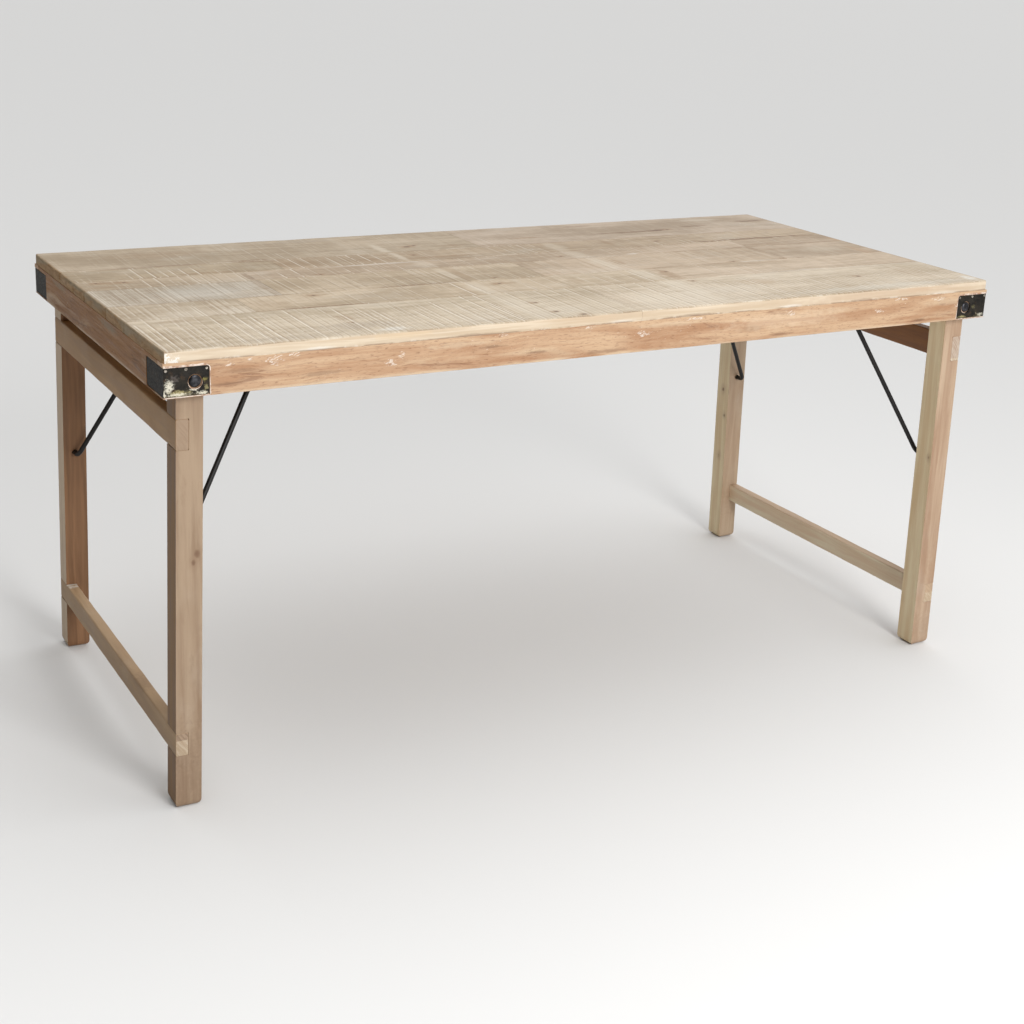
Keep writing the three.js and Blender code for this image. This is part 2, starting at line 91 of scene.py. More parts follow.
class Graph:
    """A short way to write a material's nodes: calls return output sockets, and colour holds the
    surface colour so far. Colours are 0-255 display values or sockets."""

    def __init__(self, name):
        self.material = bpy.data.materials.new(name)
        self.material.use_nodes = True
        self.tree = self.material.node_tree
        self.tree.nodes.clear()
        output = self.tree.nodes.new("ShaderNodeOutputMaterial")
        self.shader = self.tree.nodes.new("ShaderNodeBsdfPrincipled")
        self.tree.links.new(self.shader.outputs[0], output.inputs["Surface"])
        where = self.tree.nodes.new("ShaderNodeTexCoord")
        self.object = where.outputs["Object"]
        self.normal = where.outputs["Normal"]
        self.colour = None

    def feed(self, socket, value):
        if isinstance(value, bpy.types.NodeSocket):
            self.tree.links.new(value, socket)
        elif value is not None:
            socket.default_value = value

    def math(self, operation, a, b=None):
        node = self.tree.nodes.new("ShaderNodeMath")
        node.operation = operation
        self.feed(node.inputs[0], a)
        self.feed(node.inputs[1], b)
        return node.outputs[0]

    def add(self, a, b):
        return self.math("ADD", a, b)

    def sub(self, a, b):
        return self.math("SUBTRACT", a, b)

    def mul(self, a, b):
        return self.math("MULTIPLY", a, b)

    def larger(self, a, b):
        return self.math("MAXIMUM", a, b)

    def off(self, value, place):
        """How far the fractional part of value is from place."""
        return self.math("ABSOLUTE", self.sub(self.math("FRACT", value), place))

    def split(self, vector):
        node = self.tree.nodes.new("ShaderNodeSeparateXYZ")
        self.feed(node.inputs[0], vector)
        return node.outputs

    def join(self, x, y, z):
        node = self.tree.nodes.new("ShaderNodeCombineXYZ")
        for socket, value in zip(node.inputs, (x, y, z)):
            self.feed(socket, value)
        return node.outputs[0]

    def stretch(self, vector, scale, shift=(0, 0, 0)):
        node = self.tree.nodes.new("ShaderNodeMapping")
        self.feed(node.inputs["Vector"], vector)
        node.inputs["Scale"].default_value = scale
        node.inputs["Location"].default_value = shift
        return node.outputs[0]

    def noise(self, vector, detail, rough=0.5, distortion=0.0):
        node = self.tree.nodes.new("ShaderNodeTexNoise")
        self.feed(node.inputs["Vector"], vector)
        node.inputs["Scale"].default_value = 1.0
        node.inputs["Detail"].default_value = detail
        node.inputs["Roughness"].default_value = rough
        node.inputs["Distortion"].default_value = distortion
        return node.outputs["Fac"]

    def grain(self, scale, detail, rough=0.5, distortion=0.0, shift=(0, 0, 0), of=None):
        """Noise with its own scale along each axis."""
        return self.noise(self.stretch(of or self.object, scale, shift), detail, rough, distortion)

    def random(self, value):
        node = self.tree.nodes.new("ShaderNodeTexWhiteNoise")
        node.noise_dimensions = "1D"
        self.feed(node.inputs["W"], value)
        return node.outputs["Value"]

    def distance(self, vector, ca, cb, ra, rb):
        """Distance from a point in the first two axes, in units of the two radii (mm)."""
        node = self.tree.nodes.new("ShaderNodeVectorMath")
        node.operation = "LENGTH"
        scale = (1000 / ra, 1000 / rb, 0)
        self.feed(node.inputs[0], self.stretch(vector, scale, (-ca / ra, -cb / rb, 0)))
        return node.outputs["Value"]

    def cells(self, vector):
        node = self.tree.nodes.new("ShaderNodeTexVoronoi")
        self.feed(node.inputs["Vector"], vector)
        node.inputs["Scale"].default_value = 1.0
        return node.outputs["Distance"]

    def step(self, value, low, high, to_low=0.0, to_high=1.0):
        """Smooth step from low to high."""
        node = self.tree.nodes.new("ShaderNodeMapRange")
        node.interpolation_type = "SMOOTHSTEP"
        for label, number in (("Value", value), ("From Min", low), ("From Max", high),
                              ("To Min", to_low), ("To Max", to_high)):
            self.feed(node.inputs[label], number)
        return node.outputs[0]

    def fall(self, value, low, high):
        """Smooth step down from 1 at low to 0 at high."""
        return self.step(value, low, high, 1.0, 0.0)

    def mix(self, factor, a, b):
        node = self.tree.nodes.new("ShaderNodeMix")
        node.data_type = "RGBA"
        node.clamp_result = True
        self.feed(node.inputs["Factor"], factor)
        for socket, colour in ((node.inputs[6], a), (node.inputs[7], b)):
            self.feed(socket, srgb(*colour) if isinstance(colour, tuple) else colour)
        return node.outputs[2]

    def lay(self, mask, tone, strength=None):
        """Lays a tone over the colour so far, where mask is 1."""
        if strength is not None:
            mask = self.mul(mask, strength)
        self.colour = self.mix(mask, self.colour, tone)

    def blotches(self, plane, marks, grit, fray=1.6, edge=(0.35, 1.15)):
        """Soft stains. Each mark is (across, along, radius across, radius along, colour, strength), in mm,
        in the first two axes of plane. grit is a noise that frays their edges."""
        frayed = self.mul(self.sub(grit, 0.5), fray)
        for ca, cl, ra, rl, tone, strength in marks:
            r = self.add(self.distance(plane, ca, cl, ra, rl), frayed)
            self.lay(self.step(r, *edge, strength, 0.0), tone)

    def shade(self, roughness, bump=None, strength=0.3, distance=0.001, metallic=0.0, specular=0.5):
        for label, value in (("Base Color", self.colour), ("Roughness", roughness), ("Metallic", metallic),
                             ("Specular IOR Level", specular)):
            self.feed(self.shader.inputs[label], value)
        if bump is not None:
            node = self.tree.nodes.new("ShaderNodeBump")
            node.inputs["Strength"].default_value = strength
            node.inputs["Distance"].default_value = distance
            self.feed(node.inputs["Height"], bump)
            self.tree.links.new(node.outputs[0], self.shader.inputs["Normal"])
        return self.material


# ---- top boards: sawn, limed faces

FINE_PITCH = 0.0046


def kerf_run(g, x, y, wander, seed, run):
    """Saw kerfs across a board: (x from, x to, pitch, y from, y to, strength), in mm.
    Every line has its own offset, length, strength and breaks. Returns the line and a painted shadow beside
    it."""
    x0, x1, pitch, y0, y1, strength = run
    u = g.mul(g.add(x, g.add(g.mul(wander, 0.006), -x0 * MM)), 1000 / pitch)
    cell = g.math("FLOOR", u)
    place = g.add(0.36, g.mul(g.random(g.add(cell, seed)), 0.28))
    half = (1.15 if pitch > 12 else 0.8) / pitch
    line = g.fall(g.off(u, place), half * 0.3, half * 1.9)
    # A painted shadow beside the line, where its ridge would shade the wood.
    ridge_mark_and_shadow = g.step(g.off(u, g.add(place, half * 2.6)), half * 0.4, half * 2.4, 0.45, 0.0)
    level = g.add(0.25, g.mul(g.math("POWER", g.random(g.add(cell, seed + 31.7)), 0.8), 0.75))
    reach = g.add(y1 * MM - 0.045, g.mul(g.random(g.add(cell, seed + 63.1)), 0.06))
    ends = g.mul(g.fall(g.sub(y, reach), -0.012, 0.030), g.step(y, y0 * MM - 0.004, y0 * MM + 0.008))
    sides = g.mul(g.step(x, x0 * MM - 0.002, x0 * MM + 0.004), g.fall(x, x1 * MM - 0.004, x1 * MM + 0.002))
    breaks = g.noise(g.join(g.mul(cell, 3.31), g.mul(y, 42.0), seed), 3, 0.65)
    level = g.mul(g.mul(level, g.mul(ends, sides)), g.step(breaks, 0.34, 0.52, 0.18 * strength, strength))
    return g.mul(line, level), g.mul(ridge_mark_and_shadow, level)


def board_face(name, seed, low, high, tone_and_painted_light, kerfs, darks, stains, knots, fine):
    """Sawn face: mottled wood, faint lengthwise grain, saw marks across it filled with lime."""
    g = Graph(name)
    x, y, z = g.split(g.object)
    shift = (seed * 3.7, seed * 1.9, seed * 0.6)
    # The mean colour is partly painted light: lighter on the front rows, darker towards the back.
    light = tuple(min(c * 1.045, 255) for c in tone_and_painted_light)
    deep = (tone_and_painted_light[0] * 0.86, tone_and_painted_light[1] * 0.835, tone_and_painted_light[2] * 0.79)

    slow = g.grain((3.0, 8, 8), 4, 0.55, 0.5, shift=shift)
    streak = g.grain((7, 95, 95), 4, 0.6, 0.3, shift=shift)
    fibre = g.grain((26, 480, 480), 3, 0.6, shift=shift)
    grit = g.grain((48, 70, 60), 4, 0.65, shift=shift)
    tone = g.add(g.add(g.mul(slow, 0.55), g.mul(streak, 0.30)), g.mul(grit, 0.30))
    g.colour = g.mix(g.step(tone, 0.44, 0.72), deep, light)
    g.lay(g.step(fibre, 0.5, 0.8), deep, 0.22)
    bleach = g.grain((5, 9, 9), 4, 0.6, shift=(seed * 7.3, 4, 1))
    g.lay(g.step(bleach, 0.52, 0.74), (214, 206, 192), 0.28)
    g.blotches(g.object, stains, grit)

    # Fine saw marks, alternately dark and light.
    wander = g.grain((0.7, 2.4, 0), 2, 0.5, shift=shift)
    u = g.add(g.mul(x, 1 / FINE_PITCH), g.add(g.mul(wander, 1.4), seed * 3.0))
    value = g.random(g.math("FLOOR", u))
    ridge_mark_and_shadow = g.fall(g.off(u, 0.5), 0.08, 0.40)
    patch = g.noise(g.join(g.mul(x, 24.0), g.mul(y, 15.0), seed * 4.1), 4, 0.65)
    patch = g.mul(g.step(patch, 0.34, 0.60), fine)
    dark_mark = g.mul(g.mul(ridge_mark_and_shadow, g.step(value, 0.60, 1.0)), patch)
    pale_mark = g.mul(g.mul(ridge_mark_and_shadow, g.step(value, 0.45, 0.0)), patch)
    g.lay(dark_mark, (136, 110, 80), 0.50)
    g.lay(pale_mark, (228, 219, 202), 0.55)

    # Deep dark kerfs.
    groove = dark_mark
    for k, run in enumerate(darks):
        line, _ = kerf_run(g, x, y, wander, seed * 5.3 + k * 17.9, run)
        g.lay(line, (122, 96, 66), 0.62)
        groove = g.larger(groove, line)

    # Knots and nail stains: a soft halo with a dark, off-centre heart.
    rings = []
    for kx, ky, size in knots:
        rings.append((kx, ky, size * 2.6, size * 1.7, (158, 126, 94), 0.5))
        rings.append((kx + size * 0.2, ky - size * 0.2, size * 0.95, size * 0.7, (98, 72, 50), 0.8))
    g.blotches(g.object, rings, grit)

    # Dirt and lime caught in the joints along the board's long edges.
    gap = g.math("MINIMUM", g.sub(y, low[1]), g.sub(high[1], y))
    gap_noise = g.grain((14, 3, 3), 4, 0.65, shift=(seed, 0, 0))
    seam = g.fall(gap, 0.0008, 0.0034)
    dirt = g.mul(seam, g.step(gap_noise, 0.42, 0.62))
    g.lay(dirt, (128, 100, 70), 0.50)
    g.lay(g.mul(seam, g.step(gap_noise, 0.46, 0.34)), (232, 224, 208), 0.45)
    if low[0] < cad_low[0] + MM:
        rubbed = g.fall(x, cad_low[0] + 0.0015, cad_low[0] + 0.008)
        g.lay(g.mul(rubbed, g.step(grit, 0.36, 0.56)), (138, 104, 68), 0.6)

    white = 0.0
    for k, run in enumerate(kerfs):
        line, ridge_mark_and_shadow = kerf_run(g, x, y, wander, seed * 3.1 + k * 11.3, run)
        # A painted shadow beside each pale kerf.
        g.lay(ridge_mark_and_shadow, (146, 116, 84), 1.25)
        white = line if k == 0 else g.larger(white, line)
    if kerfs:
        g.lay(white, (240, 232, 216), 0.80)
        groove = g.larger(groove, g.mul(white, 0.7))
    fleck = g.cells(g.stretch(g.object, (75, 50, 60), shift))
    fleck = g.mul(g.step(fleck, 0.17, 0.06), g.step(g.add(bleach, g.mul(dirt, 0.2)), 0.56, 0.68))
    g.lay(fleck, (240, 234, 222), 0.6)

    height = g.sub(g.add(g.mul(fibre, 0.30), g.mul(grit, 0.25)), g.mul(groove, 0.6))
    return g.shade(g.step(grit, 0.2, 0.8, 0.62, 0.82), height, 0.30, 0.0008)


def board_edge():
    """Long edges of the boards: pale sapwood, planed, with dirt and filler along the lower arris."""
    g = Graph("board_edge")
    x, y, z = g.split(g.object)
    wave = g.grain((4, 40, 90), 3, 0.55, 1.2, shift=(3, 0, 0))
    slow = g.grain((2.6, 6, 20), 3, 0.5, 0.5)
    fibre = g.grain((30, 300, 700), 3, 0.6)
    grit = g.grain((55, 55, 90), 4, 0.65, shift=(0, 5, 0))
    g.colour = g.mix(g.step(wave, 0.35, 0.70), (208, 186, 158), (226, 209, 184))
    g.lay(g.step(slow, 0.50, 0.72), (210, 180, 148), 0.40)
    g.lay(g.step(fibre, 0.55, 0.8), (190, 160, 124), 0.16)
    plane = g.join(x, z, 0.0)
    g.blotches(plane, EDGE_MARKS, grit)
    jag = g.grain((230, 300, 0), 4, 0.7, 0.6, of=plane)
    g.blotches(plane, CORNER_CHALK, jag, 5.0, (0.55, 0.75))
    where = g.grain((22, 5, 5), 4, 0.65, shift=(4, 0, 0))
    g.lay(g.mul(g.fall(z, 0.7368, 0.7392), g.step(where, 0.36, 0.56)), (132, 100, 70), 0.65)
    g.lay(g.mul(g.fall(z, 0.7376, 0.7412), g.step(grit, 0.56, 0.64)), (236, 226, 212), 0.4)
    return g.shade(0.62, g.add(g.add(fibre, g.mul(wave, 0.4)), g.mul(grit, 0.5)), 0.22, 0.0007)


def board_end():
    """End grain of the boards: brown, with flat growth arcs and grey-green weathering near the top."""
    g = Graph("board_end")
    x, y, z = g.split(g.object)
    arcs = g.grain((0, 30, 120), 3, 0.6, 1.5)
    slow = g.grain((0, 9, 26), 4, 0.6, 0.5)
    pore = g.grain((400, 500, 500), 2)
    g.colour = g.mix(g.step(arcs, 0.35, 0.68), (150, 116, 76), (180, 146, 104))
    grey = g.add(slow, g.mul(g.step(z, 0.738, 0.752), 0.14))
    g.lay(g.step(grey, 0.50, 0.66), (160, 150, 126), 0.6)
    g.lay(g.step(pore, 0.58, 0.78), (112, 84, 58), 0.30)
    return g.shade(0.8, g.add(pore, arcs), 0.22, 0.0006)


def board_under():
    """Rough-sawn underside."""
    g = Graph("board_under")
    streak = g.grain((4, 80, 80), 4, 0.6, 0.4)
    saw = g.grain((150, 3, 3), 3, 0.6)
    g.colour = g.mix(g.step(streak, 0.35, 0.7), (150, 122, 90), (190, 165, 132))
    g.lay(g.step(saw, 0.55, 0.75), (122, 98, 72), 0.3)
    return g.shade(0.85, saw, 0.3, 0.001)


# ---- aprons, legs, end grain

def apron_wood(name, light, mid, dark_tone, marks, scratches=()):
    """Aprons: wavy grain running along them, dark streaks, dents filled with lime."""
    g = Graph(name)
    x, y, z = g.split(g.object)
    along = g.add(x, y)
    across = g.mul(g.sub(x, y), 0.02)
    bend = g.grain((5, 1, 9), 3, 0.55, shift=(2, 0, 6), of=g.join(along, across, z))
    p = g.join(along, across, g.add(z, g.mul(bend, 0.022)))
    wave = g.grain((3.0, 1, 42), 4, 0.55, 0.9, of=p)
    grain = g.grain((8, 1, 210), 5, 0.62, 0.5, of=p)
    fibre = g.grain((34, 1, 900), 3, 0.6, of=p)
    grit = g.grain((60, 60, 110), 4, 0.65)
    g.colour = g.mix(g.step(wave, 0.34, 0.66), mid, light)
    g.lay(g.step(grain, 0.50, 0.70), mid, 0.60)
    g.lay(g.step(fibre, 0.50, 0.78), dark_tone, 0.28)
    pale = g.grain((6, 1, 40), 4, 0.6, 0.6, shift=(7, 0, 0), of=p)
    g.lay(g.step(pale, 0.54, 0.72), (216, 192, 160), 0.40)
    dark = g.grain((9, 1, 85), 5, 0.64, 0.8, shift=(0, 0, 9), of=p)
    g.lay(g.step(dark, 0.58, 0.70), dark_tone, 0.55)
    crack = g.grain((16, 1, 260), 3, 0.6, shift=(5, 0, 3), of=p)
    where = g.grain((4, 1, 14), 2, shift=(1, 0, 8), of=p)
    crack = g.mul(g.step(crack, 0.66, 0.72), g.step(where, 0.48, 0.60))
    g.lay(crack, (98, 64, 42), 0.8)
    stroke = g.grain((90, 1, 640), 3, 0.6, 0.5, shift=(5, 0, 3), of=p)
    g.lay(g.step(stroke, 0.56, 0.66), dark_tone, 0.55)
    g.lay(g.mul(g.fall(z, 0.6835, 0.689), g.step(pale, 0.40, 0.54)), (226, 206, 178), 0.6)
    plane = g.join(along, z, 0.0)
    g.blotches(plane, marks, grit)
    # Lime left in scratches: short slanting strokes, in clusters.
    slant = g.join(g.add(along, g.mul(z, 1.2)), g.sub(z, g.mul(along, 0.35)), 0.0)
    stroke = g.grain((110, 420, 0), 3, 0.6, 0.4, of=slant)
    near = 0.0
    for k, (ca, cl, ra, rl) in enumerate(scratches):
        r = g.fall(g.distance(plane, ca, cl, ra, rl), 0.3, 1.3)
        near = r if k == 0 else g.larger(near, r)
    if scratches:
        chalk = g.step(g.add(stroke, g.mul(near, 0.17)), 0.66, 0.70)
        g.lay(g.mul(g.mul(chalk, 0.65), g.step(near, 0.0, 0.25)), (240, 230, 218))
    chalk = g.mul(g.step(stroke, 0.66, 0.72), g.step(where, 0.46, 0.60))
    g.lay(chalk, (238, 230, 218), 0.7)
    height = g.sub(g.mul(fibre, 0.35), g.add(crack, g.mul(g.step(dark, 0.6, 0.74), 0.4)))
    return g.shade(g.step(grain, 0.3, 0.7, 0.5, 0.68), height, 0.35, 0.0009)


def straight_wood(name, axis, light, deep, lime, knots=(), marks=(), sides=()):
    """Planed wood with its grain along the given axis, light liming in the pores. sides has the faces
    that get painted light or painted shade: (0 for -X or 1 for -Y, strength, deep tone, light tone)."""
    g = Graph(name)

    def scale(across, along):
        return tuple(along if letter == axis else across for letter in "xyz")

    streak = g.grain(scale(75, 4), 4, 0.6, 0.5)
    fibre = g.grain(scale(412.5, 22), 3, 0.6)
    slow = g.grain(scale(6, 1.3), 3, 0.5, 0.4, shift=(3, 1, 5))
    g.colour = g.mix(g.step(g.add(g.mul(streak, 0.6), g.mul(slow, 0.5)), 0.38, 0.74), deep, light)
    g.lay(g.step(fibre, 0.52, 0.78), deep, 0.28)
    bloom = g.grain((9, 9, 5), 4, 0.6, shift=(1, 2, 8))
    g.lay(g.step(bloom, 0.50, 0.72), (206, 192, 174), lime)
    mottle = g.grain(scale(30, 7), 5, 0.65, 0.6, shift=(6, 4, 2))
    g.lay(g.step(mottle, 0.52, 0.68), deep, 0.42)
    g.lay(g.step(mottle, 0.46, 0.34), light, 0.30)
    x, y, z = g.split(g.object)
    grit = g.grain((140, 140, 140), 4, 0.65)
    g.blotches(g.join(y, z, 0.0), marks, grit, 2.0)
    # Painted light or painted shade on whole faces that look towards -X or -Y.
    for way, strength, side_deep, side_light in sides:
        painted_face_mask = g.step(g.split(g.normal)[way], -0.9, -0.5, strength, 0.0)
        g.lay(painted_face_mask, g.mix(g.step(streak, 0.3, 0.7), side_deep, side_light))
    for kx, ky, kz, size in knots:
        d = [g.sub(a, b) for a, b in ((x, kx), (y, ky), (z, kz))]
        d[2] = g.mul(d[2], 0.7)
        r = g.math("SQRT", g.add(g.add(g.mul(d[0], d[0]), g.mul(d[1], d[1])), g.mul(d[2], d[2])))
        r = g.add(r, g.add(g.mul(g.grain((90, 90, 90), 2), 0.006), -0.003))
        g.lay(g.fall(r, size * 0.6, size * 2.6), deep, 0.35)
        g.lay(g.fall(r, size * 0.3, size), (112, 78, 54), 0.75)
    return g.shade(g.step(streak, 0.3, 0.7, 0.52, 0.70), g.add(fibre, g.mul(streak, 0.5)), 0.22, 0.0006)


def patchy(name, deep, light, low, roughness, bump, scale, detail=4, depth=0.0006):
    """Two tones in soft patches: rubbed arrises, filler, nail heads."""
    g = Graph(name)
    patch = g.grain((scale, scale, scale), detail, 0.6)
    g.colour = g.mix(g.step(patch, low, 0.62), deep, light)
    return g.shade(roughness, patch, bump, depth)


def end_grain(name, split_height, deep, light, contrast):
    """Sawn-off rail and stretcher ends: a pale wedge below, weathered wood above it."""
    g = Graph(name)
    x, y, z = g.split(g.object)
    rings = g.grain((300, 1, 60), 3, 0.5, 0.6, of=g.join(g.add(x, g.mul(z, 0.7)), y, z))
    pore = g.grain((500, 1, 500), 2)
    wedge = g.fall(z, split_height - 0.0006, split_height + 0.0006)
    g.colour = g.mix(g.step(rings, 0.36, 0.64), deep, light)
    g.lay(wedge, g.mix(g.step(rings, 0.38, 0.66), (198, 176, 146), (218, 202, 178)), contrast)
    g.lay(g.step(pore, 0.58, 0.78), (134, 108, 84), 0.22)
    return g.shade(0.75, pore, 0.2, 0.0005)


# ---- iron

def bracket_iron(name, marks):
    """Old plate: dark scale, worn to olive and brassy metal low down, scratches and dabs of lime."""
    g = Graph(name)
    x, y, z = g.split(g.object)
    blotch = g.grain((60, 60, 70), 5, 0.65, 0.7)
    fine = g.grain((260, 260, 300), 4, 0.65)
    scratch = g.grain((60, 60, 620), 3, 0.6, of=g.join(g.add(x, z), y, g.sub(z, x)))
    low = g.fall(z, 0.6855, 0.697)
    g.colour = g.mix(g.step(blotch, 0.35, 0.65), (18, 15, 11), (42, 37, 29))
    worn = g.step(g.add(g.mul(blotch, 0.8), g.mul(low, 0.24)), 0.52, 0.66)
    front = g.fall(g.split(g.normal)[1], -0.9, -0.6)
    g.lay(g.mul(worn, front), (96, 87, 60), 0.50)
    rust = g.grain((80, 80, 80), 4, 0.6, shift=(3, 3, 3))
    g.lay(g.step(rust, 0.56, 0.70), (84, 62, 42), 0.45)
    unmarked = g.colour
    g.blotches(g.join(x, z, 0.0), marks, fine, 3.0, (0.2, 1.0))
    g.colour = g.mix(front, unmarked, g.colour)
    g.lay(g.step(scratch, 0.62, 0.70), (48, 42, 36), 0.55)
    dab = g.mul(g.step(fine, 0.60, 0.68), g.step(g.add(blotch, g.mul(g.mul(low, front), 0.22)), 0.62, 0.74))
    g.lay(dab, (222, 212, 188), 0.8)
    height = g.add(blotch, g.mul(fine, 0.4))
    return g.shade(g.step(fine, 0.3, 0.7, 0.50, 0.68), height, 0.45, 0.0012, 0.0, 0.20)


def rod_iron():
    """Black forged rod, satin, faintly brown where handled."""
    g = Graph("rod_iron")
    patch = g.grain((30, 30, 30), 4, 0.6)
    grit = g.grain((420, 420, 420), 3, 0.6)
    g.colour = g.mix(g.step(patch, 0.4, 0.7), (16, 14, 13), (30, 26, 23))
    return g.shade(g.step(patch, 0.3, 0.7, 0.42, 0.56), grit, 0.15, 0.0004, 0.0, 0.35)


def bolt_steel():
    """Blackened bolt: dark blue-grey dome with rubbed highlights."""
    g = Graph("bolt_steel")
    patch = g.grain((90, 90, 90), 4, 0.6)
    g.colour = g.mix(g.step(patch, 0.4, 0.68), (42, 42, 45), (86, 86, 90))
    return g.shade(g.step(patch, 0.3, 0.7, 0.3, 0.45), patch, 0.2, 0.0006, 0.8)


# ---- marks and materials

CHALK, DIRT = (242, 238, 230), (116, 82, 56)
EDGE_MARKS = (
    (-560, 739, 30, 3, CHALK, 0.5), (-300, 738, 40, 3, DIRT, 0.35), (-20, 739, 30, 3, CHALK, 0.4),
    (120, 738, 60, 3, DIRT, 0.4), (330, 739, 26, 3, CHALK, 0.5), (500, 738, 40, 3, DIRT, 0.4),
    (690, 738, 40, 4, CHALK, 0.3), (620, 748, 50, 6, (206, 176, 146), 0.5),
    (560, 745, 240, 12, (200, 172, 146), 0.35), (-420, 748, 60, 6, (222, 196, 160), 0.5),
)
CORNER_CHALK = (
    (-797, 742, 10, 10, CHALK, 0.95), (-786, 738, 12, 4, CHALK, 0.9), (-778, 743, 4, 4, CHALK, 0.85),
)
FRONT_MARKS = (
    (-1060, 716, 26, 4, DIRT, 0.35), (-1080, 697, 30, 4, DIRT, 0.4), (-930, 700, 40, 4, DIRT, 0.4),
    (-640, 716, 30, 3, DIRT, 0.5), (-560, 700, 22, 3, DIRT, 0.5), (-420, 690, 50, 4, DIRT, 0.45),
    (-130, 705, 30, 6, DIRT, 0.3), (-60, 690, 26, 3, DIRT, 0.5), (260, 690, 14, 3, DIRT, 0.6),
    (-700, 724, 60, 6, (222, 200, 170), 0.4), (-300, 726, 70, 5, (222, 200, 170), 0.35),
    (330, 720, 60, 8, (214, 190, 160), 0.4), (60, 724, 60, 6, (220, 196, 166), 0.35),
    (-60, 714, 150, 16, (236, 212, 182), 0.35),
)
# Clusters of scratches: (along, height, half length, half height), in mm.
FRONT_SCRATCHES = (
    (-1078, 727, 8, 4), (-1046, 732, 5, 5), (-1008, 727, 16, 9), (-975, 733, 12, 4), (-818, 706, 12, 9),
    (-800, 716, 8, 6), (-620, 733, 16, 3), (-352, 714, 16, 6), (-44, 726, 13, 5), (-250, 732, 26, 3),
    (160, 714, 16, 4), (300, 727, 22, 4), (352, 712, 10, 7), (210, 733, 20, 3), (-460, 733, 12, 3),
)
M_EDGE, M_END, M_UNDER = board_edge(), board_end(), board_under()
M_APRON = apron_wood("apron_front_wood", (209, 175, 140), (178, 134, 98), (128, 86, 58),
                     FRONT_MARKS, FRONT_SCRATCHES)
# End aprons: darker and browner than the front apron, partly their own tone and partly painted shade.
M_APRON_END_TONE_AND_SHADE = apron_wood("apron_end_wood_and_shade", (162, 112, 56), (138, 90, 38), (100, 62, 26), (
    (-1130, 724, 40, 9, (142, 132, 108), 0.6), (-900, 728, 60, 8, (142, 132, 108), 0.5),
    (-600, 730, 50, 6, (142, 132, 108), 0.5), (-700, 708, 40, 8, (138, 98, 66), 0.5)))
STRETCHER_MARKS = (
    (307, 131, 4, 2.5, CHALK, 0.9), (296, 131, 8, 1.5, CHALK, 0.7), (-150, 128, 40, 6, (140, 112, 84), 0.4),
)
# node: (light tone, deep tone, liming, marks, faces with painted light or shade)
RAIL_WOOD = {
    "upper_rail_left": ((190, 154, 112), (156, 118, 76), 0.10, (), ()),
    # The right upper rail's -X face is painted dark brown: painted shade.
    "upper_rail_right": ((188, 152, 116), (154, 116, 82), 0.1, (),
                         ((0, 1.0, (132, 84, 40), (160, 108, 60)),)),
    "lower_stretcher_left": ((192, 162, 126), (162, 130, 94), 0.16, STRETCHER_MARKS, ()),
    # The right stretcher's -X face is painted near white: painted light.
    "lower_stretcher_right": ((206, 180, 150), (176, 146, 116), 0.2, (),
                              ((0, 0.95, (240, 212, 178), (255, 242, 212)),)),
}
M_CLEAT = straight_wood("cleat_wood", "y", (182, 152, 116), (142, 110, 78), 0.15)
M_ARRIS = patchy("leg_arris", (152, 122, 94), (184, 160, 132), 0.38, 0.6, 0.15, 22)
M_APRON_ARRIS = patchy("apron_arris", (172, 132, 98), (212, 186, 154), 0.38, 0.6, 0.15, 22)
# node: (height of the split, deep tone, light tone, contrast of the wedge below it)
RAIL_ENDS = {
    "upper_rail_left": (0.50, (159, 134, 110), (166, 142, 118), 0.1),
    "upper_rail_right": (0.599, (176, 152, 132), (200, 182, 164), 0.7),
    "lower_stretcher_left": (0.1185, (144, 120, 98), (166, 142, 118), 0.55),
    "lower_stretcher_right": (0.112, (184, 156, 128), (202, 174, 144), 0.6),
}
M_RAIL, M_RAIL_END = {}, {}
for node, (light, deep, lime, marks, sides) in RAIL_WOOD.items():
    short = node.split("_", 1)[1]
    M_RAIL[node] = straight_wood(short + "_wood", "y", light, deep, lime, (), marks, sides)
    M_RAIL_END[node] = end_grain(short + "_end_grain", *RAIL_ENDS[node])
BONE, BRASS = (232, 226, 206), (178, 166, 118)
M_BRACKET = {
    "left_front": bracket_iron("bracket_left_front_iron", (
        (-791, 700, 9, 13, BONE, 0.9), (-776, 690, 20, 6, BRASS, 0.8), (-778, 688, 22, 3, BONE, 0.8),
        (-753, 694, 8, 2.5, BONE, 0.85), (-741, 688, 12, 3.5, BONE, 0.85), (-735, 696, 4, 8, BRASS, 0.5),
        (-737, 708, 5, 4, (150, 138, 76), 0.7), (-783, 712, 9, 7, (96, 88, 84), 0.6),
        (-765, 718, 12, 8, (46, 41, 36), 0.6), (-738, 720, 7, 6, (44, 39, 34), 0.6),
        (-798, 690, 3, 6, BONE, 0.8))),
    "right_front": bracket_iron("bracket_right_front_iron", (
        (745, 688, 12, 3, BRASS, 0.7), (790, 689, 9, 4, BONE, 0.6), (770, 706, 6, 5, (120, 112, 78), 0.5),
        (760, 716, 20, 9, (44, 40, 34), 0.6), (735, 700, 4, 12, (44, 40, 34), 0.6))),
    "back": bracket_iron("bracket_back_iron", ()),
}
M_ROD, M_BOLT = rod_iron(), bolt_steel()
M_CHALK = patchy("chalk_filler", (176, 138, 112), (232, 216, 202), 0.36, 0.85, 0.4, 120)
M_NAIL = patchy("nail_iron", (110, 100, 88), (204, 196, 182), 0.4, 0.6, 0.3, 300, 3, 0.0004)


# ---- mesh helpers

